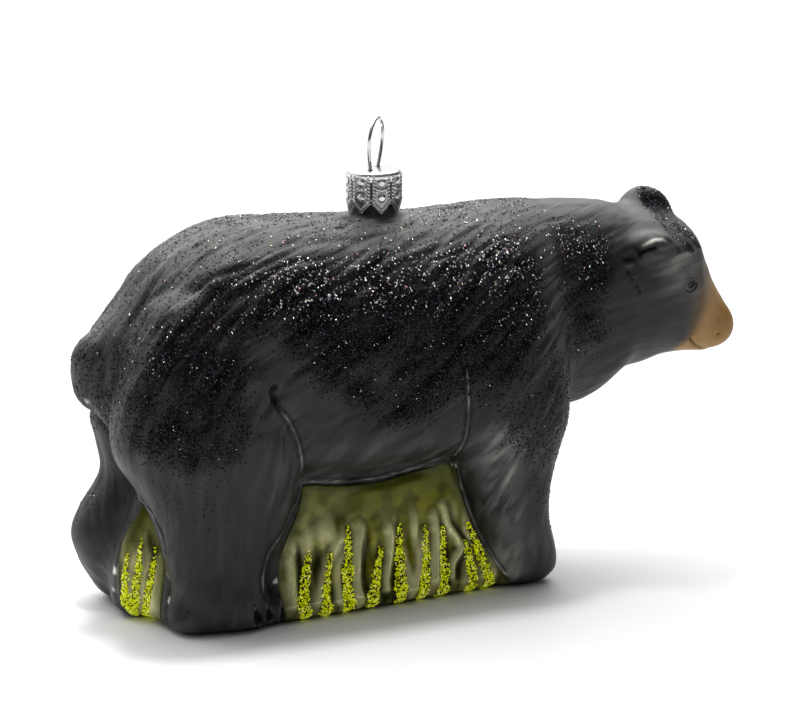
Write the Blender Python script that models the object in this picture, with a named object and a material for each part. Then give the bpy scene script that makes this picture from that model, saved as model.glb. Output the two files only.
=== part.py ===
"""A glass ornament, blown in a mould as a black bear standing in grass.

The glass is modelled whole and filled, and thin cuts part it into the pieces
that a person would name. The real glass is a wall of about 1 mm round a hollow
that nothing shows. The blowing neck stands on the back. A pressed metal crown
cap covers it, and a spring wire through the cap is the hanger.

Lengths below are in millimetres, and meshes are made in metres. +X points to
the nose, +Z up and -Y to the bear's right side. While the bear is being made
the blowing neck's axis is X = 0, Y = 0, and the floor is Z = 0.
"""

import math

import bmesh
import bpy
from mathutils import Matrix, Vector

MM = 0.001

# Glass
CUT = 0.3
VOXEL = 0.8
SECTION_SIDES = 28
STEPS_BETWEEN_STATIONS = 4
SMOOTH_PASSES = 5
GLASS_TRIANGLES = 4700

# How the head is carried, turned and leant about a point in the neck
HEAD_PIVOT = Vector((40.0, 0.0, 56.0))
HEAD_TURN = math.radians(-22)
HEAD_LEAN = math.radians(10)

# Blowing neck, crown cap and hanger
NECK_RADIUS = 4.8
BORE_RADIUS = 3.9
BORE_FOOT = 70.0
NECK_TOP = 81.6
CAP_RADIUS = 5.5
CAP_WALL = 0.4
CAP_FOOT = 74.3
CAP_TOP = 82.4
CAP_SHOULDER = 1.1
CAP_SIDES = 32
LOBES = 8
LOBE_POINT = 1.9
SLIT_WIDTH = 0.45
SLIT_TOP = 80.0
FIRST_SLIT = math.radians(15)
WIRE_RADIUS = 0.4
WIRE_HOLE_RADIUS = 0.75
WIRE_TURN = math.radians(48)
WIRE_LEG = 2.3
WIRE_REACH = 11.0
WIRE_LEAN = math.radians(4)
LOOP_RADIUS = 4.05
LOOP_HEIGHT = 5.6

# Forms along X: (x, y, z of the centre, half width, half height)
TRUNK = (
    (-57.0, 2.0, 47.5, 2.5, 3.0),
    (-55.3, 1.5, 47.3, 7.0, 7.7),
    (-51.0, 1.0, 47.5, 12.5, 12.6),
    (-44.0, 0.0, 49.2, 17.0, 18.9),
    (-35.0, 0.0, 50.3, 19.5, 23.1),
    (-24.0, 0.0, 50.4, 20.3, 24.4),
    (-8.0, 0.0, 50.4, 20.0, 23.8),
    (8.0, 0.0, 50.2, 19.5, 23.2),
    (22.0, 0.0, 50.6, 19.5, 23.5),
    (33.0, 0.0, 52.8, 16.5, 21.6),
    (39.0, 0.0, 54.0, 12.5, 18.5),
    (42.0, 0.0, 54.0, 6.0, 12.0),
)
NECK = (
    (24.0, 0.0, 53.0, 17.5, 20.7),
    (34.0, 0.0, 53.4, 16.0, 20.6),
    (42.0, -1.0, 53.6, 14.5, 20.3),
    (50.0, -4.2, 56.4, 13.3, 16.0),
    (54.0, -6.0, 55.8, 8.0, 9.0),
)
# The head is drawn looking along +X from the pivot, then turned
HEAD = (
    (42.0, 0.0, 54.0, 11.0, 15.0),
    (47.0, 0.0, 55.6, 13.0, 16.3),
    (55.0, 0.0, 56.3, 13.0, 15.5),
    (60.0, 0.0, 57.0, 12.4, 14.3),
    (64.0, 0.0, 56.6, 11.2, 13.2),
    (67.0, 0.0, 55.0, 9.4, 11.9),
    (69.0, 0.0, 52.5, 7.4, 9.3),
    (71.0, 0.0, 49.9, 5.8, 6.6),
    (73.0, 0.0, 48.6, 4.6, 4.5),
    (74.6, 0.0, 48.2, 3.2, 2.6),
    (75.4, 0.0, 48.2, 1.2, 1.0),
)
# Forms along Z: (z, x, y of the centre, half length, half width)
HIND_RIGHT = (
    (66.0, -38.0, -9.0, 3.0, 3.0),
    (62.0, -38.5, -10.0, 9.5, 7.0),
    (52.0, -39.5, -11.5, 14.5, 9.5),
    (42.0, -40.5, -12.0, 16.5, 10.0),
    (34.0, -39.5, -12.0, 17.0, 9.5),
    (27.0, -37.0, -11.5, 15.0, 8.5),
    (20.0, -36.0, -11.0, 12.9, 7.5),
    (13.0, -36.5, -11.2, 10.6, 7.2),
    (9.0, -36.8, -11.4, 9.8, 7.4),
    (5.5, -36.2, -11.6, 8.9, 8.0),
    (1.0, -34.2, -11.6, 7.8, 8.1),
    (-1.0, -33.6, -11.6, 6.2, 7.0),
)
HIND_LEFT = (
    (62.0, -36.0, 9.0, 6.0, 5.0),
    (50.0, -37.0, 11.5, 13.5, 9.5),
    (40.0, -37.6, 12.0, 14.9, 9.5),
    (36.0, -38.2, 12.0, 15.0, 9.2),
    (32.0, -38.7, 12.0, 13.6, 8.5),
    (25.0, -41.0, 12.0, 10.6, 7.5),
    (19.0, -45.0, 12.0, 10.6, 7.0),
    (14.0, -47.0, 12.0, 10.8, 7.0),
    (9.0, -46.1, 12.0, 10.5, 7.0),
    (4.0, -44.0, 12.0, 10.0, 7.0),
    (1.0, -43.0, 12.0, 9.5, 7.0),
    (-1.0, -43.0, 12.0, 8.2, 6.0),
)
FORE_RIGHT = (
    (68.0, 22.0, -8.0, 3.0, 3.0),
    (64.0, 21.5, -9.5, 9.0, 6.5),
    (54.0, 21.5, -11.0, 12.5, 9.0),
    (44.0, 22.0, -11.5, 13.0, 9.5),
    (34.0, 22.5, -11.5, 12.8, 9.0),
    (27.0, 22.3, -11.0, 11.3, 8.0),
    (20.0, 22.9, -11.0, 8.9, 7.5),
    (13.0, 24.2, -10.6, 7.8, 6.8),
    (7.0, 26.2, -9.9, 7.8, 6.4),
    (2.0, 26.6, -9.6, 7.4, 6.2),
    (-1.0, 26.4, -9.6, 6.6, 5.4),
)
FORE_LEFT_AHEAD = 2.0
# The flanks drop straight to a ledge over the grass: along X, as above
BELLY = (
    (-34.0, 0.0, 40.0, 16.0, 12.0),
    (-28.0, 0.0, 39.6, 18.0, 13.0),
    (-8.0, 0.0, 39.6, 18.8, 13.6),
    (12.0, 0.0, 40.0, 18.2, 13.2),
    (18.0, 0.0, 40.0, 16.0, 12.0),
)
GRASS = (
    (-1.5, -8.5, 0.0, 38.0, 15.3),
    (2.0, -9.0, 0.0, 39.5, 16.7),
    (10.0, -9.0, 0.0, 37.5, 14.2),
    (20.0, -9.0, 0.0, 35.5, 12.4),
    (30.0, -9.0, 0.0, 34.0, 11.0),
)
GRASS_TAPER = 0.005
# More grass, between the hind legs
GRASS_BEHIND = (
    (-1.5, -44.0, 1.8, 8.4, 5.0),
    (2.0, -44.0, 1.8, 9.4, 5.6),
    (10.0, -44.0, 1.8, 9.0, 5.4),
    (18.0, -43.0, 1.6, 7.4, 5.2),
    (26.0, -41.5, 1.2, 5.4, 5.0),
    (30.0, -41.0, 1.0, 4.0, 4.6),
)
CHEST = ((31.0, 0.0, 40.0), (9.0, 12.0, 14.0))
TAIL = ((-56.4, 1.4, 47.7), (3.9, 4.8, 7.2))
EARS = {
    "ear_left": ((57.6, 9.5, 68.8), (4.8, 3.4, 4.9)),
    "ear_right": ((57.2, -8.9, 67.0), (4.8, 3.0, 4.2)),
}

# Where the glass is parted. Each outline is in X and Z, carried across from y to y
ALL_ACROSS = (-40.0, 40.0)
RIGHT_OF_MIDDLE = (-40.0, -4.0)
LEFT_OF_MIDDLE = (4.0, 40.0)
HIND_TOP = ((-24.0, 42.0), (-29.0, 51.0), (-38.0, 57.0), (-50.0, 58.0), (-80.0, 50.0), (-80.0, -5.0))
HIND_RIGHT_CUT = ((-26.6, -5.0), (-26.2, 4.0), (-21.0, 30.0), *HIND_TOP)
HIND_LEFT_CUT = ((-33.0, -5.0), (-34.0, 12.0), (-22.5, 32.0), *HIND_TOP)
FORE_CUT = (
    (19.0, -5.0),
    (18.4, 4.0),
    (9.8, 27.0),
    (9.8, 44.0),
    (14.0, 54.0),
    (22.0, 60.0),
    (30.0, 58.0),
    (35.0, 50.0),
    (38.0, 38.0),
    (42.0, 30.0),
    (60.0, 28.0),
    (60.0, -5.0),
)
GRASS_CUT = ((-80.0, -5.0), (60.0, -5.0), (60.0, 25.2), (-80.0, 25.2))
NECK_CUT = ((31.0, 90.0), (44.5, 28.0), (100.0, 28.0), (100.0, 90.0))
TAIL_ACROSS = (-3.6, 8.0)
TAIL_CUT = ((-80.0, 40.5), (-56.6, 40.5), (-55.6, 52.0), (-80.0, 56.0))
# These are on the head as it looks along +X
HEAD_CUT = ((51.5, 90.0), (49.5, 28.0), (100.0, 28.0), (100.0, 90.0))
MUZZLE_CUT = ((69.4, 64.0), (66.4, 57.0), (64.0, 51.0), (59.5, 45.5), (58.0, 36.0), (90.0, 36.0), (90.0, 64.0))
EAR_CUT = ((51.6, 66.6), (62.2, 66.6), (63.2, 82.0), (50.6, 82.0))
EAR_LEFT_ACROSS = (6.4, 20.0)
EAR_RIGHT_ACROSS = (-20.0, -6.4)
EYE_CENTRE = (64.9, 59.8)
EYE_CUT_RADIUS = 1.3
EYE_CUT_SIDES = 10
EYE_LEFT_ACROSS = (8.2, 20.0)
EYE_RIGHT_ACROSS = (-20.0, -8.2)

# Colours, as linear red, green and blue, with roughness and metallic value
FINISHES = {
    "black_lacquer": ((0.03, 0.032, 0.034), 0.5, 0.0),
    "tan_lacquer": ((0.42, 0.2, 0.055), 0.45, 0.0),
    "grass_green_glass": ((0.16, 0.19, 0.03), 0.25, 0.0),
    "silvered_tin": ((0.8, 0.8, 0.8), 0.25, 1.0),
    "steel_wire": ((0.6, 0.6, 0.6), 0.25, 1.0),
}


def clear_scene():
    """Removes whatever the scene holds."""
    for obj in list(bpy.data.objects):
        bpy.data.objects.remove(obj)


def through(stations, steps):
    """A smooth run of rows of numbers through the given rows."""
    rows = [Vector(row) for row in stations]
    rows = [2 * rows[0] - rows[1], *rows, 2 * rows[-1] - rows[-2]]
    smooth = []
    for a, b, c, d in zip(rows, rows[1:], rows[2:], rows[3:]):
        for step in range(steps):
            t = step / steps
            smooth.append(
                b + 0.5 * t * (c - a + t * (2 * a - 5 * b + 4 * c - d + t * (3 * (b - c) + d - a)))
            )
    return [*smooth, rows[-2]]


def object_with(name, mesh):
    """An object in the scene that holds a mesh."""
    obj = bpy.data.objects.new(name, mesh)
    bpy.context.scene.collection.objects.link(obj)
    return obj


def object_from(name, bm):
    """An object in the scene from a bmesh in millimetres."""
    bmesh.ops.recalc_face_normals(bm, faces=bm.faces)
    bmesh.ops.scale(bm, vec=(MM, MM, MM), verts=bm.verts)
    mesh = bpy.data.meshes.new(name)
    bm.to_mesh(mesh)
    bm.free()
    return object_with(name, mesh)


def helper(obj):
    """Keeps an object as a guide or cutter only."""
    obj.hide_render = True
    obj.display_type = "WIRE"
    return obj


def baked(obj):
    """The mesh of an object as its modifiers leave it."""
    bpy.context.view_layer.update()
    graph = bpy.context.evaluated_depsgraph_get()
    return bpy.data.meshes.new_from_object(obj.evaluated_get(graph))


def settle(obj):
    """Keeps what an object's cuts leave as its mesh, without the crumbs that thin cuts can leave."""
    mesh = baked(obj)
    obj.modifiers.clear()
    bm = bmesh.new()
    bm.from_mesh(mesh)
    bmesh.ops.triangulate(bm, faces=bm.faces)
    unseen = set(bm.verts)
    bodies = []
    while unseen:
        body = [unseen.pop()]
        for vert in body:
            for edge in vert.link_edges:
                other = edge.other_vert(vert)
                if other in unseen:
                    unseen.remove(other)
                    body.append(other)
        bodies.append(body)
    main_body = max(bodies, key=len)
    crumbs = [vert for body in bodies if body is not main_body for vert in body]
    bmesh.ops.delete(bm, geom=crumbs, context="VERTS")
    bm.to_mesh(mesh)
    bm.free()
    obj.data = mesh


def loft(bm, stations, axis, fullness=2.3):
    """Adds a closed form through round sections along X or Z. A fuller section is squarer."""
    rings = []
    for at, centre_a, centre_b, half_a, half_b in through(stations, STEPS_BETWEEN_STATIONS):
        ring = []
        for side in range(SECTION_SIDES):
            turn = 2 * math.pi * side / SECTION_SIDES
            a, b = (
                centre + half * math.copysign(abs(part) ** (2 / fullness), part)
                for centre, half, part in (
                    (centre_a, half_a, math.cos(turn)),
                    (centre_b, half_b, math.sin(turn)),
                )
            )
            place = (at, a, b) if axis == "X" else (a, b, at)
            ring.append(bm.verts.new(place))
        rings.append(ring)
    for ring, following in zip(rings, rings[1:]):
        for side in range(SECTION_SIDES):
            nearby = (side + 1) % SECTION_SIDES
            bm.faces.new((ring[side], ring[nearby], following[nearby], following[side]))
    bm.faces.new(rings[0])
    bm.faces.new(rings[-1])
    return [vert for ring in rings for vert in ring]


def ball(bm, centre, radii):
    """Adds an egg form."""
    made = bmesh.ops.create_uvsphere(
        bm,
        u_segments=SECTION_SIDES,
        v_segments=SECTION_SIDES // 2,
        radius=1,
        matrix=Matrix.Translation(centre) @ Matrix.Diagonal([*radii, 1]),
    )
    return made["verts"]


def head_pose():
    """Turns the head to the bear's right and leans it over to that side."""
    pivot = Matrix.Translation(HEAD_PIVOT)
    turn = Matrix.Rotation(HEAD_TURN, 4, "Z") @ Matrix.Rotation(HEAD_LEAN, 4, "X")
    return pivot @ turn @ pivot.inverted()


def mirrored(stations, ahead=0.0):
    """The same limb for the other side, moved ahead along X."""
    return [(z, x + ahead, -y, long, wide) for z, x, y, long, wide in stations]


def body_forms():
    """The bear and its grass as overlapping forms."""
    bm = bmesh.new()
    loft(bm, TRUNK, "X", 2.4)
    loft(bm, BELLY, "X", 3.6)
    loft(bm, NECK, "X")
    for stations in (HIND_RIGHT, HIND_LEFT, FORE_RIGHT, mirrored(FORE_RIGHT, FORE_LEFT_AHEAD)):
        loft(bm, stations, "Z", 2.5)
    for vert in loft(bm, GRASS, "Z", 7):
        vert.co.y *= 1 - GRASS_TAPER * (vert.co.x - GRASS[0][1])
    loft(bm, GRASS_BEHIND, "Z", 3)
    ball(bm, *CHEST)
    ball(bm, *TAIL)
    head = loft(bm, HEAD, "X")
    for centre, radii in EARS.values():
        head += ball(bm, centre, radii)
    bmesh.ops.transform(bm, matrix=head_pose(), verts=head)
    return bm


def blown(name, bm, triangles):
    """One smooth closed surface round overlapping forms, in few triangles."""
    forms = object_from(name + "_forms", bm)
    remesh = forms.modifiers.new("one surface", "REMESH")
    remesh.mode = "VOXEL"
    remesh.voxel_size = VOXEL * MM
    smooth = forms.modifiers.new("soft", "SMOOTH")
    smooth.iterations = SMOOTH_PASSES
    fine = baked(forms)
    fine.calc_loop_triangles()
    thin = forms.modifiers.new("few faces", "DECIMATE")
    thin.ratio = triangles / len(fine.loop_triangles)
    bpy.data.meshes.remove(fine)
    surface = object_with(name, baked(forms))
    bpy.data.objects.remove(forms)
    return helper(surface)


def boolean(obj, other, operation):
    """Cuts an object with another, keeps what both fill, or joins them."""
    modifier = obj.modifiers.new(operation.lower(), "BOOLEAN")
    modifier.operation = operation
    modifier.solver = "EXACT"
    modifier.object = other
    return modifier


def rod(name, radius, low, high, sides=28, centre=(0.0, 0.0)):
    """An upright rod from low to high, as a guide."""
    bm = bmesh.new()
    bmesh.ops.create_cone(
        bm,
        cap_ends=True,
        segments=sides,
        radius1=radius,
        radius2=radius,
        depth=high - low,
        matrix=Matrix.Translation((*centre, (low + high) / 2)),
    )
    return helper(object_from(name, bm))


def round_outline(centre, radius, sides):
    """A round outline in X and Z."""
    turns = [2 * math.pi * side / sides for side in range(sides)]
    return [(centre[0] + radius * math.cos(turn), centre[1] + radius * math.sin(turn)) for turn in turns]


def grown(outline, by):
    """An outline with every side moved out by the same distance."""
    points = [Vector(point) for point in outline]
    turning = sum(a.x * b.y - b.x * a.y for a, b in zip(points, points[1:] + points[:1]))
    out = math.copysign(by, turning)
    moved = []
    for before, here, after in zip(points[-1:] + points[:-1], points, points[1:] + points[:1]):
        first = (here - before).normalized()
        second = (after - here).normalized()
        normal = Vector((first.y + second.y, -first.x - second.x)).normalized()
        moved.append(here + normal * (out / normal.dot(Vector((first.y, -first.x)))))
    return moved


def prism(name, outline, across, turned=None):
    """A guide with an outline in X and Z, carried across in Y."""
    bm = bmesh.new()
    near = [bm.verts.new((x, across[0], z)) for x, z in outline]
    face = bm.faces.new(near)
    made = bmesh.ops.extrude_face_region(bm, geom=[face], use_keep_orig=True)
    far = [item for item in made["geom"] if isinstance(item, bmesh.types.BMVert)]
    bmesh.ops.translate(bm, vec=(0, across[1] - across[0], 0), verts=far)
    if turned:
        bmesh.ops.transform(bm, matrix=turned, verts=bm.verts)
    return helper(object_from(name, bm))


def whole_glass():
    """The whole glass: bear and grass standing flat, and the blowing neck with its bore."""
    glass = blown("glass", body_forms(), GLASS_TRIANGLES)
    boolean(glass, rod("below_floor", 200.0, -30.0, 0.0), "DIFFERENCE")
    boolean(glass, rod("neck_tube", NECK_RADIUS, 71.0, NECK_TOP), "UNION")
    boolean(glass, rod("neck_bore", BORE_RADIUS, BORE_FOOT, NECK_TOP + 5.0, 20), "DIFFERENCE")
    return helper(object_with("glass_whole", baked(glass)))


def pieces():
    """Each named piece's region, its finish, and the regions that come off it first."""
    posed = head_pose()
    eye = round_outline(EYE_CENTRE, EYE_CUT_RADIUS, EYE_CUT_SIDES)
    on_head = ("ear_right", "ear_left", "eye_right", "eye_left", "muzzle")
    legs = ("leg_hind_right", "leg_hind_left", "leg_fore_right", "leg_fore_left")
    regions = {
        "ear_right": (EAR_CUT, EAR_RIGHT_ACROSS, posed),
        "ear_left": (EAR_CUT, EAR_LEFT_ACROSS, posed),
        "eye_right": (eye, EYE_RIGHT_ACROSS, posed),
        "eye_left": (eye, EYE_LEFT_ACROSS, posed),
        "muzzle": (MUZZLE_CUT, ALL_ACROSS, posed),
        "head": (HEAD_CUT, ALL_ACROSS, posed),
        "neck": (NECK_CUT, ALL_ACROSS, None),
        "tail": (TAIL_CUT, TAIL_ACROSS, None),
        "leg_hind_right": (HIND_RIGHT_CUT, RIGHT_OF_MIDDLE, None),
        "leg_hind_left": (HIND_LEFT_CUT, LEFT_OF_MIDDLE, None),
        "leg_fore_right": (FORE_CUT, RIGHT_OF_MIDDLE, None),
        "leg_fore_left": (FORE_CUT, LEFT_OF_MIDDLE, None),
        "grass": (GRASS_CUT, ALL_ACROSS, None),
        "trunk": None,
    }
    taken = {name: () for name in regions}
    taken["head"] = on_head
    taken["neck"] = ("head",)
    for leg in legs:
        taken[leg] = ("tail",)
    taken["grass"] = legs
    taken["trunk"] = ("neck", "tail", *legs, "grass")
    finish = {name: "black_lacquer" for name in regions}
    finish["muzzle"] = "tan_lacquer"
    finish["grass"] = "grass_green_glass"
    return [(name, regions[name], taken[name], finish[name]) for name in regions], regions


def part_glass(glass):
    """Parts the glass into its named pieces by thin cuts."""
    listed, regions = pieces()
    for name, region, taken, finish in listed:
        piece = object_with(name, glass.data.copy())
        if region:
            boolean(piece, prism(name + "_region", *region), "INTERSECT")
        for other in taken:
            outline, across, turned = regions[other]
            wider = (across[0] - CUT, across[1] + CUT)
            boolean(piece, prism(f"{name}_less_{other}", grown(outline, CUT), wider, turned), "DIFFERENCE")
        settle(piece)
        dress(piece, finish)


def dress(obj, finish):
    """Gives an object one of the finishes, made once."""
    material = bpy.data.materials.get(finish)
    if material is None:
        colour, roughness, metallic = FINISHES[finish]
        material = bpy.data.materials.new(finish)
        material.use_nodes = True
        shader = material.node_tree.nodes["Principled BSDF"]
        shader.inputs["Base Color"].default_value = (*colour, 1.0)
        shader.inputs["Roughness"].default_value = roughness
        shader.inputs["Metallic"].default_value = metallic
    obj.data.materials.clear()
    obj.data.materials.append(material)


def cap_crown():
    """The pressed cap: a cup turned over, slit into pointed lobes, with two wire holes."""
    outside = [(0.0, CAP_TOP)]
    inside = [(0.0, CAP_TOP - CAP_WALL)]
    for step in range(4):
        turn = math.pi / 6 * step
        for line, radius in ((outside, CAP_SHOULDER), (inside, CAP_SHOULDER - CAP_WALL)):
            line.append(
                (
                    CAP_RADIUS - CAP_SHOULDER + radius * math.sin(turn),
                    CAP_TOP - CAP_SHOULDER + radius * math.cos(turn),
                )
            )
    outside.append((CAP_RADIUS, CAP_FOOT))
    inside.append((CAP_RADIUS - CAP_WALL, CAP_FOOT))
    bm = bmesh.new()
    profile = [bm.verts.new((x, 0.0, z)) for x, z in outside + inside[::-1]]
    edges = [bm.edges.new(pair) for pair in zip(profile, profile[1:])]
    bmesh.ops.spin(
        bm,
        geom=profile + edges,
        cent=(0, 0, 0),
        axis=(0, 0, 1),
        angle=2 * math.pi,
        steps=CAP_SIDES,
        use_merge=True,
    )
    bmesh.ops.remove_doubles(bm, verts=bm.verts, dist=0.001)
    cap = object_from("cap_crown", bm)
    half_lobe = CAP_RADIUS * math.tan(math.pi / LOBES)
    half_slit = SLIT_WIDTH / 2
    notch = (
        (-half_lobe, CAP_FOOT - 0.1),
        (half_lobe, CAP_FOOT - 0.1),
        (half_slit, CAP_FOOT + LOBE_POINT),
        (half_slit, SLIT_TOP),
        (-half_slit, SLIT_TOP),
        (-half_slit, CAP_FOOT + LOBE_POINT),
    )
    for lobe in range(LOBES):
        turned = Matrix.Rotation(FIRST_SLIT + 2 * math.pi * lobe / LOBES + math.pi / 2, 4, "Z")
        boolean(cap, prism(f"slit_{lobe}", notch, (-7.0, -3.0), turned), "DIFFERENCE")
    for side in (-1, 1):
        centre = (side * WIRE_LEG * math.cos(WIRE_TURN), side * WIRE_LEG * math.sin(WIRE_TURN))
        hole = rod(f"wire_hole_{side + 1}", WIRE_HOLE_RADIUS, 80.0, 85.0, 12, centre)
        boolean(cap, hole, "DIFFERENCE")
    dress(cap, "silvered_tin")
    return cap


def hanger_path():
    """The wire's centre line, from the foot of one leg round the loop to the other."""
    half = [(WIRE_LEG, CAP_TOP - WIRE_REACH), (WIRE_LEG, CAP_TOP - 0.5)]
    for step in range(1, 6):
        turn = math.pi / 2 * step / 6
        half.append(
            (
                WIRE_LEG + (LOOP_RADIUS - WIRE_LEG) * math.sin(turn),
                CAP_TOP + LOOP_HEIGHT * step / 6,
            )
        )
    for step in range(9):
        turn = math.pi / 2 * step / 9
        half.append((LOOP_RADIUS * math.cos(turn), CAP_TOP + LOOP_HEIGHT + LOOP_RADIUS * math.sin(turn)))
    top = (0.0, CAP_TOP + LOOP_HEIGHT + LOOP_RADIUS)
    flat = [*half, top, *((-x, z) for x, z in reversed(half))]
    along = Vector((math.cos(WIRE_TURN), math.sin(WIRE_TURN), 0.0))
    leaning = Vector((along.y, -along.x, 0.0)) * math.tan(WIRE_LEAN)
    return [along * x + leaning * max(z - CAP_TOP, 0.0) + Vector((0.0, 0.0, z)) for x, z in flat]


def hanger_wire():
    """A springy wire, bent to a loop above the cap with two legs down the neck."""
    curve = bpy.data.curves.new("hanger_wire", "CURVE")
    curve.dimensions = "3D"
    curve.bevel_depth = WIRE_RADIUS * MM
    curve.bevel_resolution = 2
    curve.use_fill_caps = True
    path = hanger_path()
    spline = curve.splines.new("POLY")
    spline.points.add(len(path) - 1)
    for point, place in zip(spline.points, path):
        point.co = (*(place * MM), 1.0)
    wire = bpy.data.objects.new("hanger_wire", curve)
    bpy.context.scene.collection.objects.link(wire)
    dress(wire, "steel_wire")
    return wire


def set_on_origin():
    """Hangs every visible piece from an empty that puts the origin under the middle of the box."""
    bpy.context.view_layer.update()
    shown = [obj for obj in bpy.data.objects if not obj.hide_render]
    low, high = box_of(shown)
    stand = bpy.data.objects.new("ornament", None)
    stand.location = (-(low.x + high.x) / 2, -(low.y + high.y) / 2, -low.z)
    bpy.context.scene.collection.objects.link(stand)
    for obj in bpy.data.objects:
        if obj is not stand:
            obj.parent = stand


def box_of(objects):
    """The lowest and highest corners of some objects as their modifiers leave them."""
    graph = bpy.context.evaluated_depsgraph_get()
    corners = []
    for obj in objects:
        evaluated = obj.evaluated_get(graph)
        mesh = evaluated.to_mesh()
        corners += [evaluated.matrix_world @ vert.co for vert in mesh.vertices]
        evaluated.to_mesh_clear()
    low = Vector(min(corner[axis] for corner in corners) for axis in range(3))
    high = Vector(max(corner[axis] for corner in corners) for axis in range(3))
    return low, high


def main():
    clear_scene()
    part_glass(whole_glass())
    cap_crown()
    hanger_wire()
    set_on_origin()


if __name__ == "__main__":
    main()
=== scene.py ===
"""Glass bear ornament: lacquered skin, glitter, grass, crown cap, hanger wire and a plain studio.

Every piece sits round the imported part. Shapes below are in millimetres from the
axis of the blowing neck, with +X towards the nose, +Z up and the floor at zero.
"""

import math

import bmesh
import bpy
import numpy as np
from mathutils import Matrix, Vector, bvhtree, kdtree, noise


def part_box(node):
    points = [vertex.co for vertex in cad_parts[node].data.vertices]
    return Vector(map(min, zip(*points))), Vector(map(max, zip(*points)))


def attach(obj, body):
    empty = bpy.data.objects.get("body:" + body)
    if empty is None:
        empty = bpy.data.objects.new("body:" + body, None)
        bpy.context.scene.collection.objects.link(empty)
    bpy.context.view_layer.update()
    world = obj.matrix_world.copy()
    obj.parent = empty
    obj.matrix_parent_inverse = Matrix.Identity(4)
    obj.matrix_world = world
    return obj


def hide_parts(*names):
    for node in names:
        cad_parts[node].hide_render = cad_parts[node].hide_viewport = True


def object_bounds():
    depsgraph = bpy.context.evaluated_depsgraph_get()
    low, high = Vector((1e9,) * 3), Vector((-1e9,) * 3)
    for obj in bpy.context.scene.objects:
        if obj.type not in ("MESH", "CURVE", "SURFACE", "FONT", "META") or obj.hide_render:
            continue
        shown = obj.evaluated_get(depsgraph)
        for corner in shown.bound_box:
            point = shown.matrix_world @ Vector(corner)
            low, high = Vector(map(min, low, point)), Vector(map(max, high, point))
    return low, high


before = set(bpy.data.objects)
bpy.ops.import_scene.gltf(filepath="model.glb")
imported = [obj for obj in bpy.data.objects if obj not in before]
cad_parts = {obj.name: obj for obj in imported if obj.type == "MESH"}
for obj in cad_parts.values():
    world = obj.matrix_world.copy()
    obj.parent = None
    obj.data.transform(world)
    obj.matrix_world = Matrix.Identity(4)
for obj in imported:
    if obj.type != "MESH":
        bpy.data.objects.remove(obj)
CAD_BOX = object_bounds()

bl_info = {
    "name": "Glass Bear Ornament",
    "version": (1, 0, 0),
    "blender": (4, 5, 0),
    "location": "3D Viewport > Sidebar > Ornament",
    "description": "Builds a blown glass bear ornament round its packed part",
    "category": "Add Mesh",
}

MM = 0.001
CAP_LOW, CAP_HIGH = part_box("cap_crown")
AXIS = np.array(((CAP_LOW.x + CAP_HIGH.x) / 2, (CAP_LOW.y + CAP_HIGH.y) / 2, 0.0))
BEAR_NODES = tuple(
    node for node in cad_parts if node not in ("cap_crown", "hanger_wire", "grass")
)

# How far up the lowest edge turns under
TURN_UNDER = 3.6

# How the head is carried: details of the head are placed on it as it looks along +X
HEAD_PIVOT = np.array((40.0, 0.0, 56.0))
HEAD_TURN = Matrix.Rotation(math.radians(-22), 3, "Z") @ Matrix.Rotation(math.radians(10), 3, "X")

# Where the far ear and the tail run smoothly into the body: place, reach and filling in each round
MELTED = (
    ((54.6, -0.6, 72.4), 5.0, 0.05), ((63.8, -2.0, 70.4), 4.5, 0.05), ((-57.0, 0.8, 54.2), 5.5, 0.03),
    ((-57.8, 0.5, 41.2), 4.0, 0.02),
)

# The way the fur lies, seen from the bear's right: (x, z, degrees up from +X)
FUR_LAY = (
    (64, 62, 186), (56, 62, 182), (48, 70, 184), (40, 50, 200), (44, 60, 190), (36, 72, 184),
    (20, 72, 184), (0, 72, 184), (-20, 71, 184), (-35, 68, 192), (-46, 63, 214), (-54, 55, 236),
    (-57, 48, 252), (-55, 38, 268), (-50, 30, 292), (-46, 22, 288), (-10, 60, 212), (8, 60, 212),
    (-25, 60, 214), (22, 58, 220), (-5, 47, 214), (10, 47, 216), (-18, 47, 214), (-15, 34, 204),
    (0, 33, 202), (9, 32, 206), (-38, 60, 224), (-46, 52, 240), (-40, 45, 250), (-50, 42, 260),
    (-35, 35, 256), (-38, 20, 266), (-30, 28, 252), (-36, 6, 268), (-30, 12, 260), (28, 54, 238),
    (18, 38, 260), (14, 24, 266), (24, 12, 270), (29, 40, 258), (34, 42, 248), (30, 24, 264),
    (38, 38, 226), (36, 62, 200), (50, 46, 206), (60, 50, 196),
)

# Pressed lines of the mould, as (x, depth, z) on the bear's right
HAUNCH_LINE = (
    (-28.4, 20, 47.0), (-29.0, 20, 46.2), (-28.4, 19.9, 43.8), (-26.6, 19.7, 41.3), (-24.1, 19.3, 37.4),
    (-23.1, 18.4, 34.4), (-22.3, 17.5, 31), (-21.6, 15.6, 28),
)
SHOULDER_LINE = (
    (11.2, 19.3, 47.2), (10.6, 19.3, 46.2), (10.8, 19.2, 44.8), (11, 18.9, 42.8), (11.5, 18.3, 39.1),
    (11.4, 18, 35.2), (11.1, 17.1, 32), (10.2, 14.4, 28),
)
FORE_EDGE = ((11.1, 13.4, 27.4), (12.8, 12.2, 21.1), (15.3, 12.8, 13.8), (18, 13.6, 8.3), (21.6, 14.8, 2.8))
HIND_EDGE = (
    (-20.3, 12.3, 26.1), (-21.5, 12.8, 22.8), (-24.1, 14.6, 19.7), (-26.3, 16.1, 17.5), (-28.5, 17, 15.1),
    (-30.4, 17.6, 10.7), (-30.4, 18.2, 7),
)

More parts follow.
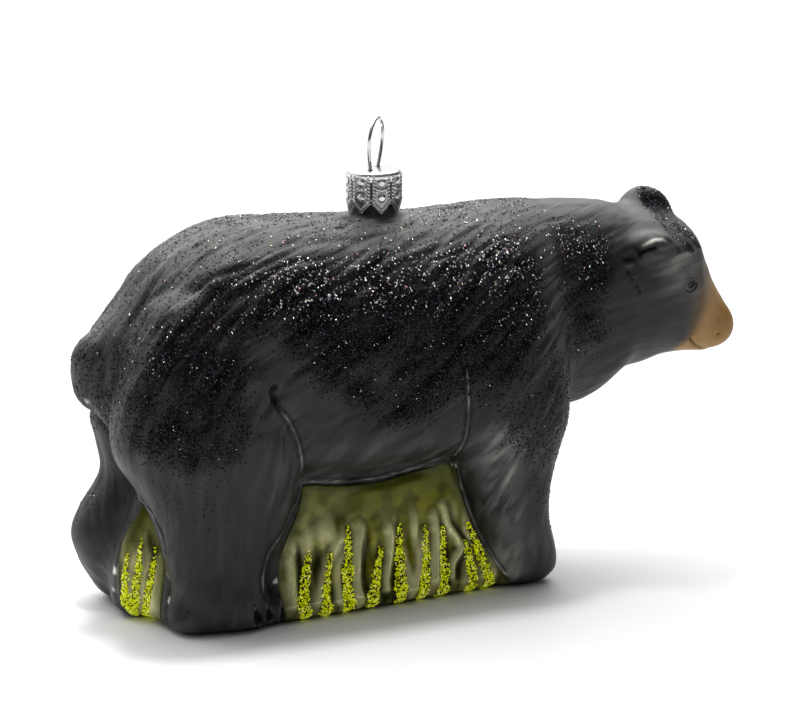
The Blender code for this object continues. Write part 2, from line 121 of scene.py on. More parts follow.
# Gaps beside the grass, painted dark as shade, with a half width, and chips where silver shows through,
# with a size
GAPS = (
    (((-27.8, -16.6, 13.2), (-28.6, -16.6, 9), (-27.6, -16.6, 5.2)), 1.1),
    (((-46.6, -10.6, 10), (-47.3, -12, 5), (-47.7, -12.6, 2.6)), 0.8),
    (((-51.4, 0.8, 15), (-52.6, 0.6, 10.5), (-53.1, 0.4, 4)), 0.5),
)
SILVER_CHIPS = (
    ((-53.1, 1.6, 9.0), 0.55), ((-53.4, 1.4, 5.3), 0.35), ((-53.2, 1.2, 12.3), 0.3),
    ((-46.7, -10.3, 10.7), 0.4), ((-47.1, -11.6, 6.3), 0.4), ((-46.6, -10.4, 13.2), 0.3),
    ((-27.2, -15.9, 8.4), 0.3), ((-26.9, -15.9, 5), 0.3), ((21.1, -14.5, 3), 0.45),
    ((11.6, -12.2, 25.6), 0.4), ((14.9, -12, 13.6), 0.25),
)

# Edge of the belly over the grass, on the bear's right
BELLY_EDGE = (
    (-19.9, 12.4, 26.0), (-15.4, 12, 25.5), (-10.6, 12.2, 25.0), (-3.9, 12, 24.9), (1.9, 11.3, 25.5),
    (6.8, 11.6, 26.2), (11.1, 12.8, 27.1),
)

# Seam up the bear's rear, with y as it is
REAR_SEAM = (
    (-57, -1, 37), (-55.4, -3.2, 33), (-53.4, -6, 29), (-51.6, -9, 26.2), (-50.4, -11.8, 24.4),
    (-49, -12.6, 20.6), (-47.6, -11.6, 14),
)

# Claws of the near hind foot: lines up each slit, as (x, y, z)
CLAWS = (
    ((-32.5, -19.4, 4.7), (-31.9, -19.5, 2.8), (-31.3, -19.3, 0.8)),
    ((-29.7, -18.6, 4.2), (-29.2, -18.6, 2.5), (-28.7, -18.3, 0.8)),
    ((-26.7, -16.8, 3.8), (-26.7, -16.9, 2.4), (-26.7, -16.8, 0.9)),
)
CLAW_WIDTHS = (0.95, 0.85, 0.4)

# Details of the head, as (x, y, z) on the head as it looks along +X
EYE_CENTRE = (64.9, -10.2, 60.1)
EAR_RIDGE = (
    (54, -11, 66.9), (54.9, -11.2, 68), (55.7, -11.3, 68.8), (57.2, -11, 69.6), (58.6, -10.8, 69.6),
    (60.4, -10.4, 68.9),
)
EAR_SLIT = ((54, -11.1, 67), (55.2, -11.3, 67.9), (56.3, -11.4, 68.4), (57.8, -11.3, 68.7))
EAR_FOLDS = (((54.3, -11.3, 66.0), (56.8, -11.7, 67.0), (59.4, -11.4, 67.5)),)

# Painted highlight along the edge over the ear's slit, on the bear as it stands
EAR_SHINE = (
    (48.9, -17.7, 66.7), (49.7, -18.2, 67.2), (51, -18.7, 67.8), (52.4, -18.9, 67.8), (53.8, -19.2, 67.1),
)
EAR_HOLLOW = (52.4, -10.9, 66.0)
MOUTH = ((65.2, -9, 48.7), (65.8, -8.1, 47.4), (66.8, -6.8, 46.1), (68, -5.3, 45.1), (69.4, -3.4, 44.6))
NOSTRIL = (71.5, -5.2, 47.9)
MUZZLE_SPOTS = ((67.8, -8.4, 51), (71.2, -5.5, 51))
CHIPS = ((52.1, -11.9, 63.7), (52.8, -12.2, 62.4), (53.8, -12.6, 61), (54.4, -12.7, 60))
TAN_EDGE = ((69.4, 64), (67.6, 60.5), (66.4, 57), (65.7, 53), (64.9, 49.6), (62.8, 46.6), (59.6, 43.2))

# Paler lacquer down the forelegs, as (x, z): worn, with a painted sheen; and a painted sheen on the brow
FORE_SCUFF_AND_SHEEN = ((22.9, 3.7), (21.9, 10.2), (19.8, 17.5), (19.2, 22.4), (17.1, 33.8), (16, 38))
BROW = np.array((63.2, -9.0, 64.6))

# Grass between the legs: edges as (x, z) from the floor up, and its top edge
PANEL_LEFT = {
    -1: (
        (-25.5, 0), (-26, 2.3), (-26.6, 5.3), (-26.9, 8.5), (-26.3, 12.2), (-24.9, 15), (-22, 19.7),
        (-20.7, 23.3), (-20, 27),
    ),
    1: ((-33.2, 0), (-34, 3), (-35.5, 8), (-36, 13), (-34.5, 18), (-31.5, 22), (-27, 27)),
}
PANEL_RIGHT = {
    -1: ((23.5, 0), (21.7, 2.8), (18, 8.3), (15.3, 13.8), (12.9, 21.1), (11.2, 27)),
    1: ((25.5, 0), (23.7, 2.8), (20, 8.3), (17.3, 13.8), (14.9, 21.1), (13.2, 27)),
}
PANEL_TOP = (
    (-40, 25.2), (-19.7, 25.3), (-15.4, 24.8), (-10.6, 24.2), (-3.9, 24.1), (1.9, 24.8), (6.8, 25.5),
    (11.1, 26.3), (20, 26.3),
)
WAVES = (
    ((-24.6, 2.5), (-24, 9.4), (-24.2, 13.6)),
    ((-19.5, 2.3), (-18.2, 5.7), (-15.8, 10.8), (-14.1, 13.4), (-12.8, 16)),
    ((-14.8, 2), (-14.9, 7), (-14, 11), (-12.9, 14.5)),
    ((-10.2, 1.9), (-10.9, 5.6), (-10.1, 10), (-8.9, 15.5), (-9.5, 18.4)),
    ((-4.4, 2.6), (-4.3, 5.5), (-3.2, 9.1), (-2.4, 13.7), (-3.1, 16.6)),
    ((1.2, 2), (1.6, 3.6), (3.4, 8.2), (4.4, 12), (5.1, 14.6)),
    ((5.9, 2.6), (6.5, 6.4), (7.1, 9.6), (7.4, 13.7), (6.9, 18.2)),
    ((9.6, 2.7), (10.3, 6.3), (12.3, 8.8), (12.2, 10.7), (10.2, 13.9), (9.5, 16.9), (8.9, 19.8)),
)
BLADES = (
    ((-21.6, 1.5), (-22.1, 3.8), (-21.2, 7.9), (-19.8, 12.9)),
    ((-17.1, 1.5), (-17.5, 4), (-16.6, 8.2), (-15.4, 12.6)),
    ((-12.5, 1.5), (-12.8, 5), (-12, 10.3), (-11.3, 16.8)),
    ((-7.6, 1.5), (-7.1, 4.2), (-5.7, 8), (-4.6, 11.9)),
    ((-1.3, 1.5), (-1.3, 4.2), (-0.7, 9.7), (-0.4, 15.1)),
    ((3.4, 1.4), (3.8, 4.4), (4.8, 9.8), (5.2, 14.9)),
    ((8, 1.4), (8.3, 4.7), (8.7, 9.3), (9.2, 14.4)),
    ((14.4, 1.4), (14.4, 3.8), (14.1, 7.6), (13.8, 10.7)),
    ((18.3, 1.4), (17.3, 5.3), (15.9, 10), (14.2, 14)),
)

# Grass between the hind legs, seen from behind on the right: (across, z)
WEDGE_ACROSS = (0.8, -0.6, 0.0)
WEDGE_LEFT = (
    (-39.2, 0), (-40.4, 2), (-41.7, 4.1), (-42.2, 10.6), (-41.4, 15.6), (-38.9, 19.6), (-36.6, 23.5),
)
WEDGE_RIGHT = ((-32.4, 0), (-32.4, 10), (-33.4, 15), (-34.9, 20), (-36.2, 23.5))
WEDGE_TOP = 23.2
WEDGE_BLADES = (
    ((-40.6, 1), (-40.5, 7), (-40.1, 13.2)),
    ((-39.1, 1.5), (-38.0, 9.5), (-37.4, 15.8)),
    ((-36.6, 0.5), (-35.6, 8.2), (-35, 14.5)),
)

# Where black glitter lies, seen from the side: outlines in x and z with how dense it is
GLITTER_FIELDS = (
    (
        (
            (-47, 57), (-42, 65), (-33, 69), (-20, 69.5), (-6, 69), (8, 68), (18, 70), (25, 69), (27, 64),
            (27, 56), (25, 49), (20, 42), (14, 40), (9, 42), (3, 38), (-4, 37.5), (-10, 41), (-18, 45),
            (-25, 52), (-33, 57), (-40, 55),
        ),
        1.0,
    ),
    (
        (
            (-53.5, 54), (-56, 46), (-55.5, 38), (-51, 34.5), (-44, 33), (-37, 34.5), (-34, 40),
            (-34, 48), (-36, 57), (-42, 62), (-49, 60),
        ),
        0.85,
    ),
    (((32.5, 71), (43, 69.5), (43.4, 62), (41, 55), (42, 48), (35, 46), (32.5, 56), (33, 64)), 0.9),
    (((17, 45), (27, 50), (34, 44), (36, 36), (33, 26), (27, 26), (18, 31)), 0.42),
    (((24, 26), (33, 28), (32, 10), (28, 10)), 0.1), (((-36, 33), (-52, 33), (-46, 20), (-38, 22)), 0.05),
)
GLITTER_BARE = (((-33, 57), (-27.5, 57), (-22, 43), (-20, 28), (-32, 28), (-34, 44)),)
CROWN_STRIP = (
    (57.6, 8.6, 72.6), (59.1, 3, 71.2), (60, -2.8, 71), (61.5, -5.3, 69.8), (63.2, -6.4, 68.2),
    (64.6, -6.9, 66.7),
)

# Pieces of glitter: name, side, towards the nose or the tail, and seed
GLITTER_PIECES = (
    ("glitter_right_front", -1, 1, 3),
    ("glitter_right_rear", -1, -1, 4),
    ("glitter_left_front", 1, 1, 5),
    ("glitter_left_rear", 1, -1, 6),
)

# Share of the black glitter's tones that are black
BLACK_SHARE = 0.85

# Limits of a piece: triangles of the skin, and flakes in a piece of glitter
MOST_TRIANGLES = 199000
MOST_FLAKES = 49500

# Hanger wire's way: from the foot of one leg, round the loop to the other
WIRE_TURN = math.radians(48)
WIRE_LEAN = math.radians(4)
WIRE_LEG = 2.3
WIRE_FOOT = 71.4
CAP_TOP = 82.4
LOOP_RADIUS = 4.05
LOOP_HEIGHT = 5.6

# Crown cap, and the neck it stands on: how wide and how high the skin may be under the cap
CAP_RADIUS = 5.5
BEND_RADIUS = CAP_RADIUS - 0.3
LOBES = 8
FIRST_SLIT = math.radians(15)
LOBE_FOOT = 74.4
LOBE_HEAD = 81.7
LOBE_POINT = 2.0
NECK_REACH = 5.2
NECK_FOOT = 74.55
NECK_STEP = 75.6
NECK_LOW_RADIUS, NECK_RADIUS = 3.95, 4.35
SKIRT_REACH = 6.3
SKIRT_FOOT = 73.9

# The view, in millimetres at the aim: its width, and how far the aim stands from its middle
VIEW_WIDTH = 152.8
AIM_ASIDE = 4.966
AIM_ABOVE = 28.841


class OrnamentSkin(bpy.types.PropertyGroup):
    voxel: bpy.props.FloatProperty(
        name="Skin Grain", description="Size of the faces of the glass skin",
        default=0.0007, unit="LENGTH", min=0.0004,
    )
    fur_depth: bpy.props.FloatProperty(
        name="Fur Depth", description="Height of the moulded fur", default=0.0004, unit="LENGTH"
    )
    wave_height: bpy.props.FloatProperty(
        name="Wave Height", description="Height of the waves in the grass", default=0.0008, unit="LENGTH"
    )
    black: bpy.props.FloatVectorProperty(
        name="Black", description="Colour of the black lacquer",
        default=(0.0078, 0.0082, 0.0088), subtype="COLOR",
    )
    tan: bpy.props.FloatVectorProperty(
        name="Tan", description="Colour of the muzzle", default=(0.24, 0.125, 0.02), subtype="COLOR"
    )
    olive: bpy.props.FloatVectorProperty(
        name="Olive", description="Colour of the grass lacquer", default=(0.27, 0.28, 0.02), subtype="COLOR"
    )
    cream: bpy.props.FloatVectorProperty(
        name="Cream", description="Colour where the olive lacquer is thin",
        default=(0.62, 0.61, 0.32), subtype="COLOR",
    )


class OrnamentGlitter(bpy.types.PropertyGroup):
    flakes: bpy.props.FloatProperty(
        name="Flakes", description="Black flakes on each square millimetre where they lie thickest",
        default=14.0, min=0.1,
    )
    flake: bpy.props.FloatProperty(
        name="Flake", description="Width of a black flake", default=0.00042, unit="LENGTH"
    )
    lime_flakes: bpy.props.IntProperty(
        name="Lime Flakes", description="Lime flakes on each millimetre of a blade's length",
        default=48, min=1,
    )
    lime_flake: bpy.props.FloatProperty(
        name="Lime Flake", description="Width of a lime flake", default=0.00044, unit="LENGTH"
    )


class OrnamentCap(bpy.types.PropertyGroup):
    wall: bpy.props.FloatProperty(
        name="Wall", description="Thickness of the crown cap", default=0.0003, unit="LENGTH"
    )
    relief: bpy.props.FloatProperty(
        name="Relief", description="Height of the pressed pattern", default=0.0003, unit="LENGTH"
    )
    wire: bpy.props.FloatProperty(
        name="Wire", description="Diameter of the hanger wire", default=0.00078, unit="LENGTH"
    )


class OrnamentStudio(bpy.types.PropertyGroup):
    floor: bpy.props.FloatProperty(
        name="Floor", description="Width of the floor", default=4.0, unit="LENGTH"
    )
    distance: bpy.props.FloatProperty(
        name="Distance", description="How far the camera stands off", default=0.52, unit="LENGTH"
    )
    wide: bpy.props.FloatProperty(
        name="Wide", description="Strength of the broad light behind and above", default=3.4
    )
    spot: bpy.props.FloatProperty(
        name="Spot", description="Power in watts of the lamp over the body", default=8.0
    )


# Helpers for meshes


def only(*objects):
    """Selects these objects and nothing else, the first one active."""
    if bpy.context.mode != "OBJECT":
        bpy.ops.object.mode_set(mode="OBJECT")
    bpy.ops.object.select_all(action="DESELECT")
    for obj in objects:
        obj.select_set(True)
    bpy.context.view_layer.objects.active = objects[0]


def added(name, data):
    """A new object in the scene."""
    obj = bpy.data.objects.new(name, data)
    bpy.context.scene.collection.objects.link(obj)
    return obj


def united(pieces, name):
    """One piece from several."""
    only(*pieces)
    bpy.ops.object.join()
    whole = bpy.context.view_layer.objects.active
    whole.name = name
    return whole


def edited(obj, action, **values):
    """Runs one edit-mode operator on all of a piece."""
    only(obj)
    bpy.ops.object.mode_set(mode="EDIT")
    bpy.ops.mesh.select_all(action="SELECT")
    action(**values)
    bpy.ops.object.mode_set(mode="OBJECT")


def walled(obj, thickness):
    """Gives a sheet its wall, on the side away from its normals."""
    shell = obj.modifiers.new("wall", "SOLIDIFY")
    shell.thickness = thickness
    shell.offset = -1.0
    only(obj)
    bpy.ops.object.modifier_apply(modifier=shell.name)


def numbers(items, name, width=1, kind=float):
    """One property of all a mesh's items, in rows where it has several numbers."""
    values = np.empty(len(items) * width, kind)
    items.foreach_get(name, values)
    return values.reshape(-1, width) if width > 1 else values


def read(mesh):
    """A mesh's points in millimetres from the neck axis."""
    return (numbers(mesh.vertices, "co", 3) - AXIS) / MM


def write(mesh, points):
    """Puts a mesh's points back."""
    mesh.vertices.foreach_set("co", (points * MM + AXIS).ravel())
    mesh.update()


def outward(mesh):
    """A mesh's point normals."""
    return numbers(mesh.vertex_normals, "vector", 3)


def edges_of(mesh):
    """A mesh's edges as pairs of point numbers."""
    return numbers(mesh.edges, "vertices", 2, np.int32)


def corners_of(mesh):
    """The point number at each corner of a mesh's faces, and where each face starts among them."""
    corners = numbers(mesh.loops, "vertex_index", kind=np.int32)
    return corners, numbers(mesh.polygons, "loop_start", kind=np.int32)


def lifted(values, found, more):
    """Raises the found values to at least these."""
    values[found] = np.maximum(values[found], more)


def far(points, place):
    """How far points are from a place."""
    return np.linalg.norm(points - place, axis=1)


def spread(values, pairs, count):
    """For each point, the sum of its neighbours' values."""
    ends = np.concatenate((pairs[:, 0], pairs[:, 1]))
    others = np.concatenate((pairs[:, 1], pairs[:, 0]))
    if values.ndim == 1:
        return np.bincount(ends, values[others], count)
    return np.stack([np.bincount(ends, column[others], count) for column in values.T], 1)


def within_box(points, gap=0.0):
    """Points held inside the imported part's box."""
    low, high = ((np.array(corner) - AXIS) / MM for corner in CAD_BOX)
    return np.clip(points, low + gap, high - gap)


def eased(points, pairs, passes):
    """Points smoothed without losing their volume."""
    degree = spread(np.ones(len(points)), pairs, len(points))[:, None]
    for _ in range(passes):
        for share in (0.5, -0.52):
            points = points + share * (spread(points, pairs, len(points)) / degree - points)
    return points


def keep(mesh, name, values):
    """Stores numbers or vectors on a mesh's points."""
    kind = "FLOAT" if values.ndim == 1 else "FLOAT_VECTOR"
    attribute = mesh.attributes.get(name) or mesh.attributes.new(name, kind, "POINT")
    attribute.data.foreach_set("value" if values.ndim == 1 else "vector", values.astype(np.float32).ravel())


def kept(mesh, name):
    """Reads numbers or vectors stored on a mesh's points."""
    attribute = mesh.attributes[name]
    label, width = ("value", 1) if attribute.data_type == "FLOAT" else ("vector", 3)
    return numbers(attribute.data, label, width, np.float32).astype(float)


def refine(obj, near):
    """Splits the faces whose corners are all near."""
    only(obj)
    mesh = obj.data
    for items in (mesh.vertices, mesh.edges):
        items.foreach_set("select", np.zeros(len(items), bool))
    corners, starts = corners_of(mesh)
    chosen = np.minimum.reduceat(near[corners].astype(np.int8), starts).astype(bool)
    mesh.polygons.foreach_set("select", chosen)
    bpy.context.tool_settings.mesh_select_mode = (False, False, True)
    bpy.ops.object.mode_set(mode="EDIT")
    bpy.ops.mesh.subdivide(number_cuts=1)
    bpy.ops.object.mode_set(mode="OBJECT")


def nearest(places, line):
    """Places' distance to a line, how far along it they are, their offset and the line's way there."""
    line = np.array(line, float)
    best = np.full(len(places), 1e9)
    along = np.zeros(len(places))
    offset, way = np.zeros(places.shape), np.zeros(places.shape)
    lengths = np.linalg.norm(np.diff(line, axis=0), axis=1)
    run = np.concatenate(((0,), np.cumsum(lengths)))
    for a, b, length, start in zip(line, line[1:], lengths, run):
        share = np.clip((places - a) @ (b - a) / length**2, 0, 1)
        apart = places - (a + share[:, None] * (b - a))
        away = np.linalg.norm(apart, axis=1)
        closer = away < best
        best[closer], offset[closer] = away[closer], apart[closer]
        along[closer] = (start + share * length)[closer] / run[-1]
        way[closer] = (b - a) / length
    return best, along, offset, way


def flat_distance(places, line):
    """Distance from places to a line of points, and how far along it each is nearest."""
    return nearest(places, line)[:2]


def beside(points, normals, line, reach):
    """Numbers of the points within reach of a line, their distance, side and how far along they are."""
    line = np.array(line, float)
    low, high = line.min(0) - reach, line.max(0) + reach
    found = np.flatnonzero(((points > low) & (points < high)).all(1))
    best, along, offset, way = nearest(points[found], line)
    side = (offset * np.cross(way, normals[found])).sum(1)
    near = best < reach
    return found[near], best[near], side[near], along[near]


def near_lines(points, normals, lines, reach):
    """Which points lie within reach of any of the lines."""
    near = np.zeros(len(points), bool)
    for line in lines:
        near[beside(points, normals, line, reach)[0]] = True
    return near


def inside(places, outline):
    """Which places in a plane lie in an outline."""
    outline = np.array(outline, float)
    within = np.zeros(len(places), bool)
    x, z = places.T
    for (x0, z0), (x1, z1) in zip(outline, np.roll(outline, -1, 0)):
        crosses = (z0 > z) != (z1 > z)
        within ^= crosses & (x < (x1 - x0) * (z - z0) / ((z1 - z0) or 1e-9) + x0)
    return within


def depth_in(places, outline):
    """Distance to an outline, above zero inside it."""
    closed = [*outline, outline[0]]
    away = flat_distance(places, closed)[0]
    return np.where(inside(places, outline), away, -away)


def step(value, low, high):
    """Rises smoothly from 0 at low to 1 at high."""
    share = np.clip((value - low) / (high - low), 0, 1)
    return share * share * (3 - 2 * share)


def hump(value, width):
    """One at zero, falling away over a width."""
    return np.exp(-((value / width) ** 2))


def drift(places, seed=0.0):
    """Soft noise from -1 to 1 at each place."""
    return np.array([noise.noise((x, y, z + seed)) for x, y, z in places.tolist()])


def on_head(places):
    """Points of the posed bear as they'd be if the head looked along +X."""
    return (places - HEAD_PIVOT) @ np.array(HEAD_TURN) + HEAD_PIVOT


def on_side(line, side):
    """A line given by x, depth and z, on the bear's right (-1) or left (1)."""
    return np.array(line, float) * (1, side, 1)


def smooth(line, steps=6):
    """A smooth run of points through the given ones."""
    rows = np.array(line, float)
    rows = np.vstack((2 * rows[0] - rows[1], rows, 2 * rows[-1] - rows[-2]))
    run = []
    for a, b, c, d in zip(rows, rows[1:], rows[2:], rows[3:]):
        for t in np.arange(steps) / steps:
            run.append(b + 0.5 * t * (c - a + t * (2 * a - 5 * b + 4 * c - d + t * (3 * (b - c) + d - a))))
    return np.array((*run, rows[-2]))


def surface_of(mesh):
    """A mesh's surface in millimetres, to lay things on."""
    corners, starts = corners_of(mesh)
    faces = [list(face) for face in np.split(corners, starts[1:])]
    return bvhtree.BVHTree.FromPolygons(read(mesh).tolist(), faces)


def laid(line, surface):
    """A smooth line brought down onto a surface."""
    return np.array([surface.find_nearest(place)[0] for place in smooth(line).tolist()])


# The glass skin


def merged_copy(nodes, name):
    """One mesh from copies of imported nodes."""
    copies = [added(name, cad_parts[node].data.copy()) for node in nodes]
    for copy in copies:
        copy.data.materials.clear()
    whole = united(copies, name)
    edited(whole, bpy.ops.mesh.remove_doubles, threshold=1e-6)
    return whole


def blown_skin(voxel):
    """The glass nodes melted into one smooth closed surface."""
    skin = merged_copy((*BEAR_NODES, "grass"), "bear_skin")
    swell = skin.modifiers.new("swell", "DISPLACE")
    swell.strength = 0.3 * MM
    swell.mid_level = 0.0
    melt = skin.modifiers.new("melt", "REMESH")
    melt.mode = "VOXEL"
    melt.voxel_size = voxel
    for modifier in (swell, melt):
        bpy.ops.object.modifier_apply(modifier=modifier.name)
    mesh = skin.data
    pairs = edges_of(mesh)
    points = eased(read(mesh), pairs, 36)
    degree = spread(np.ones(len(points)), pairs, len(points))[:, None]
    joined, filled = np.zeros((2, len(points)))
    for place, reach, fill in MELTED:
        near = hump(far(points, place), reach)
        joined = np.maximum(joined, near)
        filled = np.maximum(filled, fill * near)
    facing = outward(mesh)
    for _ in range(26):
        points = points + 0.5 * joined[:, None] * (spread(points, pairs, len(points)) / degree - points)
        points = points + filled[:, None] * facing
    write(mesh, points)
    points = points - 0.3 * outward(mesh)
    write(mesh, rounded_below(points, outward(mesh)))
    bpy.ops.object.shade_smooth()
    return skin


def rounded_below(points, normals):
    """Points with the lowest edge drawn in, so that feet and grass turn under before the floor."""
    points[:, 2] = np.maximum(points[:, 2], 0.0)
    rim = np.flatnonzero((points[:, 2] > 0.3) & (points[:, 2] < 1.3) & (np.abs(normals[:, 2]) < 0.75))
    tree = kdtree.KDTree(len(rim))
    for number, place in enumerate(points[rim, :2].tolist()):
        tree.insert((*place, 0.0), number)
    tree.balance()
    for index in np.flatnonzero(points[:, 2] < TURN_UNDER):
        x, y, z = points[index]
        _, number, away = tree.find((x, y, 0.0))
        out = normals[rim[number], :2] / (np.linalg.norm(normals[rim[number], :2]) + 1e-9)
        drawn = TURN_UNDER * (1 - math.sqrt(max(1 - (1 - z / TURN_UNDER) ** 2, 0.0)))
        points[index, :2] -= out * drawn * max(1 - away / 7.0, 0.0)
    return points


def fur_ways(points, normals):
    """Unit vectors along the fur and across it, on the surface."""
    lay = np.array(FUR_LAY, float)
    apart = (points[:, None, 0] - lay[None, :, 0]) ** 2 + (points[:, None, 2] - lay[None, :, 1]) ** 2
    weight = 1 / (apart + 12.0) ** 1.6
    turn = np.radians(lay[:, 2])
    ways = np.stack((weight @ np.cos(turn), np.zeros(len(points)), weight @ np.sin(turn)), 1)
    ways -= (ways * normals).sum(1)[:, None] * normals
    ways /= np.linalg.norm(ways, axis=1)[:, None] + 1e-9
    across = np.cross(normals, ways) * -np.sign(points[:, 1:2] + 1e-6)
    return ways, across


def field_along(points, pairs, ways, rounds=420):
    """Numbers on the points that grow by one each millimetre along the ways, as nearly as can be."""
    a, b = pairs.T
    wanted = ((ways[a] + ways[b]) / 2 * (points[b] - points[a])).sum(1)
    count = len(points)
    degree = spread(np.ones(count), pairs, count)
    goal = np.bincount(b, wanted, count) - np.bincount(a, wanted, count)
    field = np.zeros(count)
    rest = goal.copy()
    scaled = rest / degree
    way = scaled.copy()
    power = rest @ scaled
    for _ in range(rounds):
        pulled = degree * way - spread(way, pairs, count)
        size = power / (way @ pulled)
        field += size * way
        rest -= size * pulled
        scaled = rest / degree
        following = rest @ scaled
        way = scaled + following / power * way
        power = following
    return field - field.mean()


def skin_details(skin, surface, settings):
    """Fur, pressed lines, face, ears and claws on the skin."""
    mesh = skin.data
    lines = lines_of_mould(surface)
    slits = [laid(on_side(HAUNCH_LINE[:4], side), surface) for side in (-1, 1)]
    claws = [laid(line, surface) for line in CLAWS]
    points, normals = read(mesh), outward(mesh)
    pairs = edges_of(mesh)
    ways, across = fur_ways(points, normals)
    fields = field_along(points, pairs, across), field_along(points, pairs, ways)
    keep(mesh, "lay", np.stack((*fields, np.sign(points[:, 1]) * 40), 1))

    # Finer faces where the details are
    refine(skin, near_lines(points, normals, lines, 1.6))
    points, normals = read(mesh), outward(mesh)
    head = on_head(points)
    fine = near_lines(points, normals, claws, 1.4)
    creases = [on_side(line, side) for line in (MOUTH, EAR_RIDGE, EAR_SLIT, *EAR_FOLDS) for side in (1, -1)]
    fine |= near_lines(head, normals, creases, 1.3)
    spots = (EYE_CENTRE, 2.8), (EAR_HOLLOW, 1.8), (NOSTRIL, 1.2), (CHIPS[1], 2.2), (CHIPS[3], 1.4)
    for place, reach in spots:
        for side in (1, -1):
            fine |= far(head, np.array(place) * (1, side, 1)) < reach
    refine(skin, fine)
    head = on_head(read(mesh))
    creases = [on_side(line, side) for line in (MOUTH, EAR_SLIT) for side in (1, -1)]
    fine = near_lines(head, np.zeros_like(head), creases, 0.7)
    for side in (1, -1):
        fine |= far(head, np.array(EYE_CENTRE) * (1, side, 1)) < 2.2
    refine(skin, fine)

    points, normals = read(mesh), outward(mesh)
    head = on_head(points)
    turned = normals @ np.array(HEAD_TURN)
    lay = kept(mesh, "lay")
    height, crest, ink = np.zeros((3, len(points)))

    # Moulded fur
    x, y, z = points.T
    flank = step(z, 30, 40) * step(x, -58, -48) * step(-x, -34, -24) * (1 - 0.45 * step(z, 66, 72))
    haunch = hump(x + 42, 14) * step(z, 26, 36)
    legs = step(-z, -32, -26) * 0.4
    faces = step(x, 40, 46) * 0.13
    depth = np.clip(0.25 + 0.75 * flank + 0.1 * haunch + 0.2 * legs, 0, 1) * (1 - step(x, 44, 50)) + faces
    tufts = drift(lay / (2.3, 8.5, 9))
    strands = 1.2 * np.clip(np.abs(tufts) * 4.2, 0, 1) - 0.7 + 0.9 * tufts
    strands += 0.45 * drift(lay / (1.1, 5, 9), 31.0)
    height += settings.fur_depth / MM * depth * strands * step(z, 1.5, 5)
    combed = 1 - 0.75 * step(head[:, 0], 44, 52)
    keep(mesh, "combed", combed * (1 - 0.4 * step(-z, -26, -14)))

    # Pressed lines with a raised thread, pale where silver shows and as a painted highlight, and painted
    # shade in the grooves either side
    for line in lines:
        found, away, side, along = beside(points, normals, line, 3.2)
        ends = step(along, 0, 0.05) * step(1 - along, 0, 0.04)
        height[found] += ends * (0.22 * hump(side, 0.25) - 0.24 * hump(np.abs(side) - 0.55, 0.24))
        lifted(crest, found, 0.6 * ends * hump(away, 0.22) * (0.6 + 0.7 * drift(points[found] / 1.7)))
        lifted(ink, found, 0.8 * ends * hump(np.abs(side) - 0.52, 0.2))
    # The top of each haunch line is a slit painted dark as shade
    for line in slits:
        found, away, _, along = beside(points, normals, line, 2.5)
        share = step(-along, -1.0, -0.75)
        height[found] -= share * 0.7 * hump(away, 0.4)
        crest[found] *= 1 - share
        lifted(ink, found, share * hump(away, 0.4))
    for side in (-1, 1, 0):
        place = points[:, 1] * side > 4 if side else (points[:, 0] < -42) & (points[:, 1] < 6)
        place = np.flatnonzero(place & (points[:, 2] < 27))
        height[place] -= 0.75 * step(sheet_edge(points[place], side), 0.2, 1.6)

    # The face
    for side in (1, -1):
        centre = np.array(EYE_CENTRE) * (1, side, 1)
        found = np.flatnonzero(far(head, centre) < 4.5)
        u = head[found, 0] - centre[0]
        v = head[found, 2] - centre[2]
        tilted = 0.82 * u + 0.57 * v, -0.57 * u + 0.82 * v
        ring = np.hypot(tilted[0] / 0.9, tilted[1] / 0.74)
        facing = step(-side * turned[found, 1], -0.2, 0.2)
        height[found] += facing * (
            0.3 * np.clip(1 - ring**2, 0, 1) - 0.3 * hump(ring - 1.12, 0.2) + 0.2 * hump(ring - 1.55, 0.25)
        )
        slit = 0.9 - np.abs(tilted[0] - 0.15)
        height[found] -= facing * 0.3 * hump(tilted[1] - 0.12, 0.16) * step(slit, 0, 0.35)
        brow = np.hypot(u - 0.9, v - 0.2)
        height[found] -= facing * 0.14 * hump(brow - 2.9, 0.4) * step(v, 0.2, 1.4)
        # A painted highlight on the eye's lower rim, and painted shade in its slit and along its upper rim
        lifted(crest, found, 0.5 * facing * hump(ring - 1.0, 0.13) * step(-tilted[0], -0.2, 0.5))
        lifted(ink, found, facing * hump(tilted[1] - 0.12, 0.17) * step(slit, 0, 0.3))
        lifted(ink, found, 0.8 * facing * hump(ring - 1.16, 0.2) * step(tilted[1], 0.0, 0.6))

        found, away, across, along = beside(head, turned, on_side(MOUTH, side), 2.2)
        height[found] -= 0.42 * hump(away, 0.3) * step(along, 0, 0.06)
        height[found] += 0.16 * hump(across * side - 0.75, 0.45)
        lifted(ink, found, hump(away, 0.24) * (1 - 0.5 * along))
        spots = (NOSTRIL, 0.42, 0.4), (MUZZLE_SPOTS[0], 0.6, 0.12), (MUZZLE_SPOTS[1], 0.6, 0.1)
        for place, size, deep in spots:
            away = far(head, np.array(place) * (1, side, 1))
            height -= deep * hump(away, size)
            ink = np.maximum(ink, (0.9 if deep > 0.2 else 0.35) * hump(away, size * 0.8))

        # The forehead runs nearly straight from the ear down to the eyes
        height -= 0.7 * hump(far(head, np.array((62.8, side * 2.5, 70))), 4.5)
